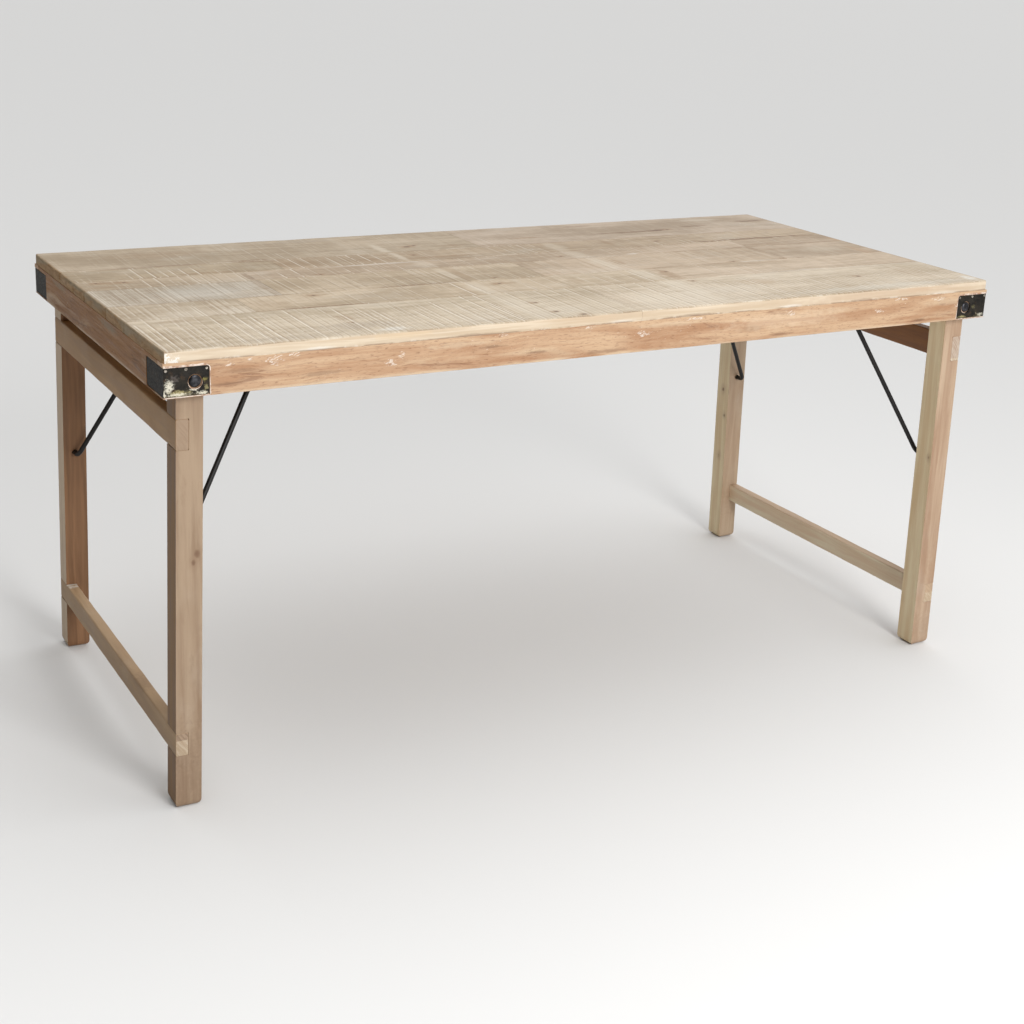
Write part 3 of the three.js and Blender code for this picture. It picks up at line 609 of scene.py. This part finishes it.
def new_object(name, verts, faces, materials, indices=None, closed=True):
    """A smooth object. The faces of a closed one are turned outwards."""
    mesh = bpy.data.meshes.new(name)
    mesh.from_pydata([tuple(v) for v in verts], [], faces)
    for m in materials:
        mesh.materials.append(m)
    if indices:
        mesh.polygons.foreach_set("material_index", indices)
    mesh.polygons.foreach_set("use_smooth", [True] * len(mesh.polygons))
    mesh.update()
    if closed:
        bm = bmesh.new()
        bm.from_mesh(mesh)
        bmesh.ops.recalc_face_normals(bm, faces=bm.faces)
        bm.to_mesh(mesh)
        bm.free()
    obj = bpy.data.objects.new(name, mesh)
    scene.collection.objects.link(obj)
    return obj


def loft(rings, sides, base=0):
    """Faces through rings of vertices from base on: the sides, then the first and last ring's caps."""
    faces = []
    for i in range(rings - 1):
        for k in range(sides):
            a, b = base + i * sides + k, base + i * sides + (k + 1) % sides
            faces.append((a, b, b + sides, a + sides))
    faces.append(tuple(base + k for k in reversed(range(sides))))
    faces.append(tuple(base + (rings - 1) * sides + k for k in range(sides)))
    return faces


def rough(x, seed, scale):
    """Smooth noise from -1 to 1 along a length, in metres."""
    return noise.noise(Vector((x * scale, seed * 7.13, seed * 1.71)))


# The corners of a bar's section: side in Y, side in Z, and where the arc starts, in half turns.
CORNERS = ((-1, -1, 1.0), (1, -1, 1.5), (1, 1, 0.0), (-1, 1, 0.5))
ARC_STEPS = 4
# Cuts across the top face. The outer ones, close to the arrises, keep the face's shading flat.
TOP_CUTS = (0.008, 0.2, 0.4, 0.6, 0.8, 0.992)
FLAT_LEAD = 0.0006
# The underside's arris at the ends is no rounder than this.
LOW_INSET = 0.0005
# Ends with more wear than this show end grain and are a little torn.
SHOWN_END, TORN_END = 0.001, 0.002
TOP, SIDE, END, UNDERSIDE = range(4)


def bar_stations(x0, x1, wear, spacing):
    """(x, inset) of each section: a quarter round at either end, even steps between."""
    turns = [math.pi / 2 * k / ARC_STEPS for k in range(ARC_STEPS + 1)]
    arc = [(1 - math.cos(a), 1 - math.sin(a)) for a in turns]
    inner0, inner1 = x0 + wear[4], x1 - wear[5]
    count = max(4, int((x1 - x0) / spacing))
    return ([(x0 + wear[4] * along, wear[4] * inset) for along, inset in arc]
            + [(inner0 + FLAT_LEAD, 0.0)]
            + [(inner0 + (inner1 - inner0) * k / count, 0.0) for k in range(1, count)]
            + [(inner1 - FLAT_LEAD, 0.0)]
            + [(x1 - wear[5] * along, wear[5] * inset) for along, inset in reversed(arc)])


def bar_section(x, inset, lo, hi, wear, seed, corner):
    """The (y, z) points of the section at x, drawn in by inset."""
    cut = [0.0, 0.0]
    for d, signed in ((x - lo.x, corner[0]), (hi.x - x, corner[1])):
        radius = abs(signed)
        if d < radius:
            cut[0 if signed < 0 else 1] = radius - math.sqrt(max(radius ** 2 - (radius - d) ** 2, 0))
    y0, y1 = lo.y + inset + cut[0], hi.y - inset - cut[1]
    z0, z1 = lo.z + min(inset, LOW_INSET), hi.z - inset
    points = []
    for c, (sy, sz, start) in enumerate(CORNERS):
        r = wear[c] * (1 + 0.45 * rough(x, seed + c, 22) + 0.35 * rough(x, seed + c + 9, 90))
        dent = max(0.0, rough(x, seed + c + 21, 14) - 0.30) * wear[c] * 1.6
        r = min(r + dent, (z1 - z0) * 0.45)
        cy = y0 + r if sy < 0 else y1 - r
        cz = z0 + r if sz < 0 else z1 - r
        for k in range(ARC_STEPS + 1):
            a = start * math.pi + math.pi / 2 * k / ARC_STEPS
            points.append((cy + r * math.cos(a), cz + r * math.sin(a)))
        if (sy, sz) == (1, 1):
            ya, yb = points[-1][0], y0 + wear[3] * 1.2
            for k, f in enumerate(TOP_CUTS):
                hollow = inset == 0 and 0.1 < f < 0.9
                sink = 0.00022 * (1 + rough(x, seed + 40 + k, 6)) if hollow else 0.0
                points.append((ya + (yb - ya) * f, z1 - sink))
    return points


def worn_bar(name, low, high, materials, wear, seed, spacing=0.014, corner=(0, 0), long_axis="x"):
    """A bar with softened, slightly uneven arrises. wear gives the arris radius in metres at
    (y-,z-), (y+,z-), (y+,z+), (y-,z+), then at the two ends. corner gives the radius that rounds
    the bar's plan at its low and high end, negative on the -Y side and positive on the +Y side.
    materials: top, sides, ends, underside."""
    lo, hi = Vector(low), Vector(high)
    if long_axis == "y":
        lo, hi = Vector((low[1], -high[0], low[2])), Vector((high[1], -low[0], high[2]))
    stations = bar_stations(lo.x, hi.x, wear, spacing)
    verts = []
    for x, inset in stations:
        points = bar_section(x, inset, lo, hi, wear, seed, corner)
        torn = 0.0007 if inset > 0 and wear[4] > TORN_END and abs(x - lo.x) < 0.01 else 0.0
        for py, pz in points:
            verts.append(Vector((x + torn * (1 + noise.noise(Vector((py * 70, pz * 90, seed)))), py, pz)))
    n, ring = len(stations), len(points)
    faces = loft(n, ring)
    indices = []
    for a, b, _, _ in faces[:-2]:
        dy, dz = verts[b].y - verts[a].y, verts[b].z - verts[a].z
        up = -dy / (math.hypot(dy, dz) or 1)
        i = a // ring
        if (i < ARC_STEPS and wear[4] > SHOWN_END) or (i >= n - 1 - ARC_STEPS and wear[5] > SHOWN_END):
            indices.append(END)
        elif up > 0.55:
            indices.append(TOP)
        else:
            indices.append(UNDERSIDE if up < -0.6 else SIDE)
    indices += [END, END]
    if long_axis == "y":
        verts = [Vector((-v.y, v.x, v.z)) for v in verts]
    return new_object(name, verts, [tuple(reversed(f)) for f in faces], materials, indices)


def ease_cad(node, width, segments, face_material, arris_material=None):
    """Softens the arrises of a CAD node with modifiers and gives it its materials."""
    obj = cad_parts[node]
    materials = [face_material] + ([arris_material] if arris_material else [])
    while len(obj.material_slots) < len(materials):
        obj.data.materials.append(None)
    for slot, material in zip(obj.material_slots, materials):
        slot.material = material
    weld = obj.modifiers.new("weld", "WELD")
    weld.merge_threshold = 0.00002
    bevel = obj.modifiers.new("ease", "BEVEL")
    bevel.width = width
    bevel.segments = segments
    bevel.limit_method = "ANGLE"
    bevel.angle_limit = math.radians(35)
    bevel.use_clamp_overlap = True
    if arris_material:
        bevel.material = 1


# ---- top boards

PALE, BROWN, GREY, LIME = (224, 212, 192), (156, 126, 92), (170, 156, 138), (228, 224, 214)
# board: (mean colour, pale kerf runs, dark kerf runs, stains, knots, strength of the fine saw marks), in mm.
# The mean colours darken from the front rows to the back: partly the boards' own tone, partly painted light.
BOARDS = {
    "row1_1": ((205, 190, 167),
     ((-800, -385, 20.5, -378, -205, 1.0), (-425, -200, 19.5, -378, -262, 0.9),
      (-300, 25, 30, -378, -175, 1.0), (-800, 25, 9.6, -378, -225, 0.7)), (),
     ((-470, -320, 80, 26, GREY, 0.5), (-468, -264, 18, 22, BROWN, 0.4), (-425, -356, 34, 13, LIME, 0.75),
      (-720, -204, 50, 12, BROWN, 0.35), (-600, -358, 90, 14, GREY, 0.35), (-158, -280, 24, 130, PALE, 0.45),
      (-30, -300, 60, 60, (222, 206, 182), 0.3)),
     ((-469, -297, 4), (-125, -268, 6), (-124, -336, 5), (-90, -368, 6)), 0.5),
    "row1_2": ((211, 196, 174),
     ((20, 225, 31, -378, -150, 1.0), (225, 365, 28, -378, -205, 1.0), (365, 790, 30, -378, -275, 0.9),
      (20, 790, 11.5, -378, -215, 1.0)), (),
     ((30, -285, 18, 90, BROWN, 0.15), (120, -320, 90, 60, PALE, 0.45), (195, -270, 24, 120, PALE, 0.5),
      (560, -352, 240, 18, (216, 210, 196), 0.45), (360, -245, 50, 25, (186, 158, 126), 0.35),
      (706, -270, 40, 60, (182, 158, 130), 0.3), (782, -345, 16, 26, LIME, 0.85)),
     ((577, -264, 7), (242, -202, 6)), 0.4),
    "row2_1": ((196, 180, 157), ((-800, -585, 13.5, -190, -85, 0.55), (-690, -585, 41, -190, -80, 0.7)),
     (), ((-690, -140, 40, 40, PALE, 0.25),), (), 0.7),
    "row2_2": ((200, 182, 157), ((-360, 0, 31, -190, -90, 0.5), (-200, -140, 29, -190, -75, 0.8)),
     ((-585, -560, 12, -190, -85, 0.5),),
     ((-545, -140, 40, 40, BROWN, 0.25), (-500, -181, 90, 3, DIRT, 0.6), (-455, -100, 35, 14, BROWN, 0.35),
      (-105, -112, 30, 14, BROWN, 0.45), (-158, -140, 22, 60, PALE, 0.4), (-420, -181, 25, 3, DIRT, 0.7)),
     ((-496, -184, 5), (-455, -99, 5), (-108, -112, 6)), 0.6),
    "row2_3": ((206, 189, 165), ((40, 215, 31, -190, -82, 0.9),), (),
     ((34, -135, 20, 30, BROWN, 0.25), (190, -130, 24, 60, PALE, 0.5)), (), 0.5),
    "row2_4": ((201, 182, 159), ((320, 480, 31, -190, -88, 0.65),), (),
     ((236, -140, 18, 60, BROWN, 0.55), (500, -184, 120, 4, LIME, 0.5), (490, -100, 60, 10, BROWN, 0.25)),
     ((243, -115, 5), (248, -196, 4)), 0.35),
    "row3_1": ((192, 180, 163), ((-800, -500, 8.5, -86, 40, 0.4),), ((-770, -640, 21, -86, 43, 0.55),),
     ((-620, -20, 90, 50, (206, 202, 192), 0.4), (-508, -10, 9, 80, BROWN, 0.3)), (), 1.0),
    "row3_2": ((196, 178, 153), ((-500, 0, 26, -86, 0, 0.3),), ((-480, 0, 27, -90, 20, 0.75),),
     ((-135, -10, 24, 60, BROWN, 0.3), (-158, -10, 14, 60, PALE, 0.35), (-250, -78, 120, 4, DIRT, 0.45)),
     ((-92, -66, 4),), 0.9),
    "row3_3": ((193, 173, 149), ((150, 540, 27, -60, 40, 0.25),), ((10, 150, 21, -90, 30, 0.5),),
     ((6, 0, 9, 50, DIRT, 0.2), (170, -10, 22, 60, PALE, 0.4), (205, -10, 14, 40, BROWN, 0.35),
      (548, 0, 9, 80, DIRT, 0.15), (480, -82, 60, 4, LIME, 0.6), (430, -75, 20, 6, BROWN, 0.5)),
     ((430, -72, 4), (548, -76, 5)), 0.75),
    "row3_4": ((194, 175, 153), (), (),
     ((600, 8, 60, 6, BROWN, 0.35), (766, -60, 18, 60, (188, 150, 112), 0.3), (690, -20, 60, 30, PALE, 0.25)),
     (), 0.3),
    "row4_1": ((186, 168, 144), ((-690, -500, 20.5, 38, 116, 0.75),), (),
     ((-740, 92, 50, 12, BROWN, 0.6), (-505, 70, 8, 40, DIRT, 0.45), (-760, 62, 40, 6, BROWN, 0.4)),
     ((-765, 100, 4), (-720, 92, 5)), 0.7),
    "row4_2": ((193, 173, 150),
     ((-460, -200, 33, 38, 116, 0.85), (-130, 60, 38, 38, 116, 0.5), (230, 555, 24, 60, 122, 0.4)), (),
     ((-378, 54, 12, 8, BROWN, 0.6), (-158, 80, 22, 40, PALE, 0.35), (165, 75, 24, 50, PALE, 0.35),
      (280, 52, 16, 6, LIME, 0.6), (-240, 108, 120, 6, LIME, 0.4), (380, 40, 60, 6, BROWN, 0.4)),
     ((-379, 52, 5), (125, 70, 4)), 0.45),
    "row4_3": ((185, 165, 142), ((600, 760, 42, 55, 116, 0.45),), (),
     ((600, 60, 60, 14, BROWN, 0.25), (790, 60, 12, 30, (196, 160, 122), 0.3)), (), 0.3),
    "row5_1": ((181, 163, 137),
     ((-705, -560, 20.5, 108, 190, 0.95), (-800, -700, 23, 108, 130, 0.6), (-545, -420, 23, 105, 130, 0.6)),
     (),
     ((-560, 126, 60, 9, BROWN, 0.5), (-450, 196, 50, 6, (128, 96, 60), 0.6), (-620, 198, 150, 3, DIRT, 0.3)),
     (), 0.4),
    "row5_2": ((187, 167, 142),
     ((-462, -200, 23.5, 108, 215, 0.85), (20, 135, 24, 108, 215, 0.6), (385, 570, 17, 108, 150, 0.7)), (),
     ((-390, 150, 60, 44, BROWN, 0.3), (-240, 140, 50, 24, BROWN, 0.35), (-90, 138, 90, 12, BROWN, 0.5),
      (-175, 160, 10, 60, PALE, 0.5), (295, 165, 14, 25, BROWN, 0.4), (620, 121, 180, 8, (120, 88, 56), 0.8),
      (165, 160, 22, 60, PALE, 0.3)), ((-143, 166, 5), (402, 155, 6)), 0.45),
    "row6_1": ((188, 171, 148), ((-462, -350, 23.5, 195, 300, 0.45),), (),
     ((-640, 205, 160, 4, DIRT, 0.3), (-455, 206, 50, 7, (130, 98, 62), 0.6),
      (-600, 300, 120, 30, BROWN, 0.25), (-178, 240, 12, 60, PALE, 0.5), (-300, 352, 90, 14, GREY, 0.4),
      (-30, 230, 30, 20, BROWN, 0.3)), ((-120, 246, 8), (-100, 254, 5)), 0.35),
    "row6_2": ((190, 172, 152), ((30, 130, 24, 195, 270, 0.4), (535, 570, 17, 195, 235, 0.6)), (),
     ((155, 262, 40, 8, BROWN, 0.5), (420, 257, 110, 8, (122, 90, 60), 0.65),
      (480, 262, 28, 9, (98, 66, 44), 0.6), (580, 281, 40, 8, (118, 88, 60), 0.6),
      (745, 300, 50, 9, (112, 82, 54), 0.65), (330, 348, 40, 10, (146, 116, 98), 0.4),
      (60, 210, 60, 10, BROWN, 0.35), (640, 340, 60, 16, PALE, 0.3)),
     ((500, 262, 7), (10, 235, 4), (585, 195, 4)), 0.3),
}
OUTER_WEAR, SEAM_WEAR, JOINT_WEAR = 0.0030, 0.0008, 0.00025
# The boards are cramped together: the joints close up to a hair line.
END_CLOSE, SEAM_CLOSE, UNDER_CLOSE = 0.0004, 0.0003, 0.0005
# Plan radius of the top's corners; the near left one is the sharpest.
TOP_CORNER, SHARP_CORNER = 0.008, 0.0025
for i, (place, looks) in enumerate(BOARDS.items()):
    name = "board_" + place
    low, high = (list(v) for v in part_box(name))
    face = board_face(name + "_face", i + 1, low, high, *looks)
    left, right = low[0] < cad_low[0] + MM, high[0] > cad_high[0] - MM
    front, back = low[1] < cad_low[1] + MM, high[1] > cad_high[1] - MM
    low[0] -= 0 if left else END_CLOSE
    high[0] += 0 if right else END_CLOSE
    low[1] -= 0 if front else SEAM_CLOSE
    high[1] += 0 if back else SEAM_CLOSE
    low[2] -= UNDER_CLOSE
    wear = (SEAM_WEAR, SEAM_WEAR, OUTER_WEAR if back else SEAM_WEAR, OUTER_WEAR if front else SEAM_WEAR,
            OUTER_WEAR if left else JOINT_WEAR, OUTER_WEAR if right else JOINT_WEAR)
    plan = -TOP_CORNER if front else TOP_CORNER if back else 0
    corner = ((-SHARP_CORNER if front else plan) if left else 0, plan if right else 0)
    board = worn_bar(name + "_worn", low, high, [face, M_EDGE, M_END, M_UNDER], wear, i + 3, corner=corner)
    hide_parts(name)
    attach(board, "table_top")

# ---- aprons, cleats, legs, rails

for name in ("apron_front", "apron_back"):
    ease_cad(name, 0.0013, 2, M_APRON, M_APRON_ARRIS)
for name in ("apron_left", "apron_right"):
    ease_cad(name, 0.0006, 2, M_APRON_END_TONE_AND_SHADE)
for name in ("cleat_left", "cleat_middle", "cleat_right"):
    ease_cad(name, 0.002, 2, M_CLEAT)

# Painted shade: the left front leg's outer -X face darkened to brown.
OUTER_FACE_PAINTED_SHADE = (0, 0.85, (112, 76, 36), (144, 106, 58))
# Painted light: the right legs' inner -X faces lightened towards white.
INNER_FACE_PAINTED_LIGHT = (0, 0.9, (238, 210, 164), (255, 238, 200))
# name: (light tone, deep tone, knots at (x, y, z, size) in metres, stains in mm, faces with painted light or
# shade)
LEGS = {
    "leg_left_front": ((174, 150, 124), (142, 114, 88),
        ((-0.745, -0.3515, 0.427, 0.0065), (-0.7505, -0.3515, 0.413, 0.0045)),
        ((-332, 55, 50, 110, (124, 98, 76), 0.3), (-345, 78, 6, 26, (104, 78, 58), 0.5),
         (-322, 300, 14, 60, (196, 176, 152), 0.35)),
        (OUTER_FACE_PAINTED_SHADE,)),
    "leg_left_back": ((180, 150, 120), (150, 118, 88),
        ((-0.742, 0.3095, 0.045, 0.005),),
        ((330, 60, 40, 60, (110, 76, 48), 0.35),),
        # Its -X face gets painted light, its -Y face painted shade in dark brown.
        ((0, 0.8, (204, 180, 152), (226, 206, 178)), (1, 0.95, (114, 76, 42), (150, 108, 72)))),
    "leg_right_front": ((201, 175, 148), (168, 134, 106),
        ((0.738, -0.345, 0.40, 0.004),),
        ((-330, 160, 30, 60, (176, 140, 108), 0.4), (-330, 40, 40, 40, (160, 128, 98), 0.3)),
        (INNER_FACE_PAINTED_LIGHT,)),
    "leg_right_back": ((202, 178, 150), (174, 144, 116),
        ((0.737, 0.33, 0.36, 0.005), (0.737, 0.32, 0.30, 0.004), (0.737, 0.33, 0.20, 0.005)),
        ((330, 90, 30, 50, (170, 138, 108), 0.3),),
        (INNER_FACE_PAINTED_LIGHT,)),
}
for name, (light, deep, knots, stains, sides) in LEGS.items():
    wood = straight_wood(name + "_wood", "z", light, deep, 0.35, knots, stains, sides)
    ease_cad(name, 0.0034, 4, wood, M_ARRIS)

RAIL_WEAR = (0.0022, 0.0022, 0.0026, 0.0026, 0.0004, 0.0004)
for end, sx in ENDS:
    tilt = Matrix.Translation((PIVOT_X * sx, 0, PIVOT_Z)) @ Matrix.Rotation(-SPLAY * sx, 4, "Y")
    for kind, bottom, height in RAILS:
        node = f"{kind}_{end}"
        x0, x1 = sorted((RAIL_NEAR * sx, RAIL_FAR * sx))
        low = (x0, -LEG_OUTER_Y, bottom - PIVOT_Z - RAIL_SWELL)
        high = (x1, LEG_OUTER_Y, bottom - PIVOT_Z + height + RAIL_SWELL)
        wood = M_RAIL[node]
        bar = worn_bar(node + "_worn", low, high, [wood, wood, M_RAIL_END[node], wood],
                       RAIL_WEAR, 31 + sx + len(kind), 0.02, long_axis="y")
        bar.data.transform(tilt)
        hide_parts(node)
        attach(bar, "leg_frame_" + end)

# ---- brackets, bolts, washers, nuts, hangers

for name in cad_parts:
    if name.startswith("bracket_"):
        iron = M_BRACKET.get(name.removeprefix("bracket_"), M_BRACKET["back"])
        ease_cad(name, 0.0008, 2, iron, M_ROD)
    elif name.startswith(("washer_", "nut_")):
        ease_cad(name, 0.0004, 2, M_BOLT)
    elif name.startswith("stay_hanger_"):
        ease_cad(name, 0.0005, 2, M_ROD)
    elif name.startswith("pivot_bolt_"):
        ease_cad(name, 0.0003, 1, M_BOLT)

# ---- filler and nails on the front plates

# In mm.
PLATE_LOW, PLATE_HIGH, PLATE_END = 685.5, 728.5, 730.25
APRON_FACE, PLATE_FACE = -378.0, -377.25
LIP_END, LIP_CORNER = 799.3, 5.0
HOLE_RADIUS = 11.0
# (x, z, radius)
NAILS = ((795.6, 725.0, 2.2), (765.2, 725.4, 2.3), (734.0, 724.6, 2.0))
NAIL_SIDES = 14


def bead(name, points, normals, widths, face, height, inside=0.5):
    """A flat bead of filler on a face of constant y: points and normals are (x, z), in mm."""
    verts = []
    for (px, pz), (nx, nz), w in zip(points, normals, widths):
        for across, lift in ((-inside, 0.6), (-inside, -height * 0.4), (w * 0.15, -height),
                             (w * 0.75, -height * 0.8), (w, 0.02), (w, 0.6)):
            verts.append(Vector((px + nx * across, face + lift, pz + nz * across)) * MM)
    obj = new_object(name, verts, loft(len(points), 6), [M_CHALK])
    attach(obj, "table_top")


def plate_lip(end, sx):
    """Filler along the edge of the plate's pocket: along the top, down, and back along the bottom."""
    edge_x, top, bottom, r = PLATE_END - 1.0, PLATE_HIGH + 1.0, PLATE_LOW - 1.0, LIP_CORNER
    points, normals = [], []
    for k in range(40):
        points.append((LIP_END - (LIP_END - edge_x - r) * k / 39, top))
        normals.append((0.0, 1.0))
    for k in range(1, 8):
        a = math.pi / 2 * k / 8
        points.append((edge_x + r - r * math.sin(a), top - r + r * math.cos(a)))
        normals.append((-math.sin(a), math.cos(a)))
    for k in range(26):
        points.append((edge_x, top - r - (top - r - bottom) * k / 26))
        normals.append((-1.0, 0.0))
    for k in range(42):
        points.append((edge_x + (LIP_END - edge_x) * k / 41, bottom))
        normals.append((0.0, -1.0))
    widths = []
    for i, (_, pz) in enumerate(points):
        w = 1.15 + 0.75 * rough(i * 0.001, 3 + sx, 180) + 0.4 * rough(i * 0.001, 9 + sx, 700)
        if pz == top:
            w = w * 1.5 + 0.8 + 1.2 * max(0, rough(i * 0.001, 5 + sx, 90))
        widths.append(max(0.25, min(w, {bottom: 1.35, top: 5.5}.get(pz, 2.0))))
    bead(f"plate_lip_{end}", [(px * sx, pz) for px, pz in points], [(nx * sx, nz) for nx, nz in normals],
         widths, APRON_FACE, 0.22)


def bolt_hole_filler(end, sx):
    """A crescent of filler in the gap round the bolt head, longer on the left plate."""
    points, normals, widths = [], [], []
    for k in range(40):
        a = math.pi * (0.93 + (1.16 if end == "left" else 0.6) * k / 39)
        nx, nz = math.cos(a), math.sin(a)
        normals.append((nx, nz))
        points.append((PIVOT_X / MM * sx + HOLE_RADIUS * nx, PIVOT_Z / MM + HOLE_RADIUS * nz))
        taper = math.sin(math.pi * k / 39)
        widths.append(max(0.05, taper * (1.1 + 0.9 * rough(k * 0.001, 17 + sx, 330))))
    bead(f"bolt_hole_filler_{end}", points, normals, widths, PLATE_FACE, 0.12, inside=0.05)


def plate_nails(end, sx):
    """Three small nails along the plate's top edge, heads hammered flat."""
    verts, faces = [], []
    for nail_x, nail_z, nail_r in NAILS:
        faces += loft(4, NAIL_SIDES, len(verts))
        for rr, lift in ((nail_r, 0.3), (nail_r, -0.35), (nail_r * 0.75, -0.6), (nail_r * 0.3, -0.68)):
            for k in range(NAIL_SIDES):
                a = 2 * math.pi * k / NAIL_SIDES
                place = (nail_x * sx + rr * math.cos(a), PLATE_FACE + lift, nail_z + rr * math.sin(a))
                verts.append(Vector(place) * MM)
    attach(new_object(f"plate_nails_{end}", verts, faces, [M_NAIL]), "table_top")


for end, sx in ENDS:
    plate_lip(end, sx)
    bolt_hole_filler(end, sx)
    plate_nails(end, sx)

# ---- stay rods

def tube(name, points, radius, material, sides=20):
    """A round rod along a path, with slightly domed ends."""
    tangents = []
    for before, after in zip([points[0]] + points, points[1:] + [points[-1]]):
        tangents.append((after - before).normalized())
    verts = []

    def ring(centre, tangent, normal, r):
        across = tangent.cross(normal)
        for k in range(sides):
            a = 2 * math.pi * k / sides
            verts.append(centre + normal * (r * math.cos(a)) + across * (r * math.sin(a)))

    normal = tangents[0].orthogonal().normalized()
    dome = radius * 0.22
    for i, (p, t) in enumerate(zip(points, tangents)):
        normal = (normal - t * normal.dot(t)).normalized()
        if i == 0:
            ring(p, t, normal, radius * 0.75)
            ring(p + t * dome, t, normal, radius)
        elif i == len(points) - 1:
            ring(p - t * dome, t, normal, radius)
            ring(p, t, normal, radius * 0.75)
        else:
            ring(p, t, normal, radius * (1 + 0.02 * noise.noise(p * 40)))
    return new_object(name, verts, loft(len(verts) // sides, sides), [material])


def straight_run(path, end, spacing, with_end):
    """Adds even steps from the path's last point towards end, and end itself if asked."""
    start = path[-1].copy()
    run = end - start
    count = max(int(run.length / spacing), 1)
    for k in range(1, count + with_end):
        path.append(start + run * (k / count))


def rounded_path(corners, radius, steps=8, spacing=0.02):
    """Straight runs between corners, with arcs of the given radius at the inner ones."""
    pts = [Vector(c) for c in corners]
    out = [pts[0]]
    for before, here, after in zip(pts, pts[1:], pts[2:]):
        a = (before - here).normalized()
        b = (after - here).normalized()
        half = a.angle(b) / 2
        centre = here + (a + b).normalized() * (radius / math.sin(half))
        tangent = radius / math.tan(half)
        start = here + a * tangent - centre
        end = here + b * tangent - centre
        straight_run(out, here + a * tangent, spacing, False)
        for k in range(steps + 1):
            out.append(centre + start.slerp(end, k / steps) * radius)
    straight_run(out, pts[-1], spacing, True)
    return out


for end, sx in ENDS:
    peg_x = (PIVOT_X + STAY_DROP * math.sin(SPLAY)) * sx
    peg_z = PIVOT_Z - STAY_DROP * math.cos(SPLAY)
    half = [(STAY_X * sx, CROSSBAR_HALF, STAY_Z), (peg_x, STAY_ARM_Y, peg_z), (peg_x, STAY_TIP_Y, peg_z)]
    corners = [(x, -y, z) for x, y, z in reversed(half)] + half
    rod = tube(f"stay_rod_{end}_forged", rounded_path(corners, ROD_BEND), ROD_RADIUS, M_ROD)
    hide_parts(f"stay_rod_{end}")
    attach(rod, "stay_" + end)

# ---- floor, light, camera

floor_white = Graph("floor_white")
floor_white.colour = (0.66, 0.66, 0.655, 1)
floor = new_object("floor", [(-60, -60, 0), (60, -60, 0), (60, 60, 0), (-60, 60, 0)], [(0, 1, 2, 3)],
                   [floor_white.shade(0.9)], closed=False)
floor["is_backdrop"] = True

# Soft white light from above and behind, dim surroundings elsewhere.
world = bpy.data.worlds.new("studio")
scene.world = world
world.use_nodes = True
sky = world.node_tree
direction = sky.nodes.new("ShaderNodeTexCoord").outputs["Generated"]
dot = sky.nodes.new("ShaderNodeVectorMath")
dot.operation = "DOT_PRODUCT"
dot.inputs[1].default_value = (0.45, 0.10, 0.88)
sky.links.new(direction, dot.inputs[0])
spread = sky.nodes.new("ShaderNodeMapRange")
spread.interpolation_type = "SMOOTHSTEP"
spread.inputs["From Min"].default_value = 0.2
spread.inputs["From Max"].default_value = 0.8
sky.links.new(dot.outputs["Value"], spread.inputs["Value"])
blend = sky.nodes.new("ShaderNodeMix")
blend.data_type = "RGBA"
blend.clamp_result = False
sky.links.new(spread.outputs[0], blend.inputs["Factor"])
blend.inputs[6].default_value = (0.08, 0.07, 0.06, 1)
blend.inputs[7].default_value = (1.5, 1.5, 1.5, 1)
sky.links.new(blend.outputs[2], sky.nodes["Background"].inputs["Color"])
sky.nodes["Background"].inputs["Strength"].default_value = 1.0

KEY_PLACE, KEY_TARGET = Vector((0.15, -3.9, 2.2)), Vector((0, 0, 0.45))
key_data = bpy.data.lights.new("key", "AREA")
key_data.shape = "DISK"
key_data.size = 1.6
key_data.energy = 132
key = bpy.data.objects.new("key", key_data)
key.location = KEY_PLACE
key.rotation_mode = "QUATERNION"
key.rotation_quaternion = (KEY_TARGET - KEY_PLACE).to_track_quat("-Z", "Y")
scene.collection.objects.link(key)

scene.view_settings.view_transform = "Standard"

# Camera: where it stands, and which way it looks.
yaw, pitch, roll = math.radians(29.6823), math.radians(17.3551), math.radians(2.483)
forward = Vector((math.sin(yaw) * math.cos(pitch), math.cos(yaw) * math.cos(pitch), -math.sin(pitch)))
right = Vector((math.cos(yaw), -math.sin(yaw), 0))
up = right.cross(forward)
right, up = (math.cos(roll) * right + math.sin(roll) * up, math.cos(roll) * up - math.sin(roll) * right)
camera_data = bpy.data.cameras.new("camera")
camera_data.sensor_width = 36
camera_data.lens = 57.62
camera_data.shift_y = -0.0703
camera_data.clip_start = 0.05
camera_data.clip_end = 60
camera = bpy.data.objects.new("camera", camera_data)
camera.matrix_world = Matrix((
    (right.x, up.x, -forward.x, -1.48282),
    (right.y, up.y, -forward.y, -2.59468),
    (right.z, up.z, -forward.z, 1.35293),
    (0, 0, 0, 1),
))
scene.collection.objects.link(camera)
scene.camera = camera

low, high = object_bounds()
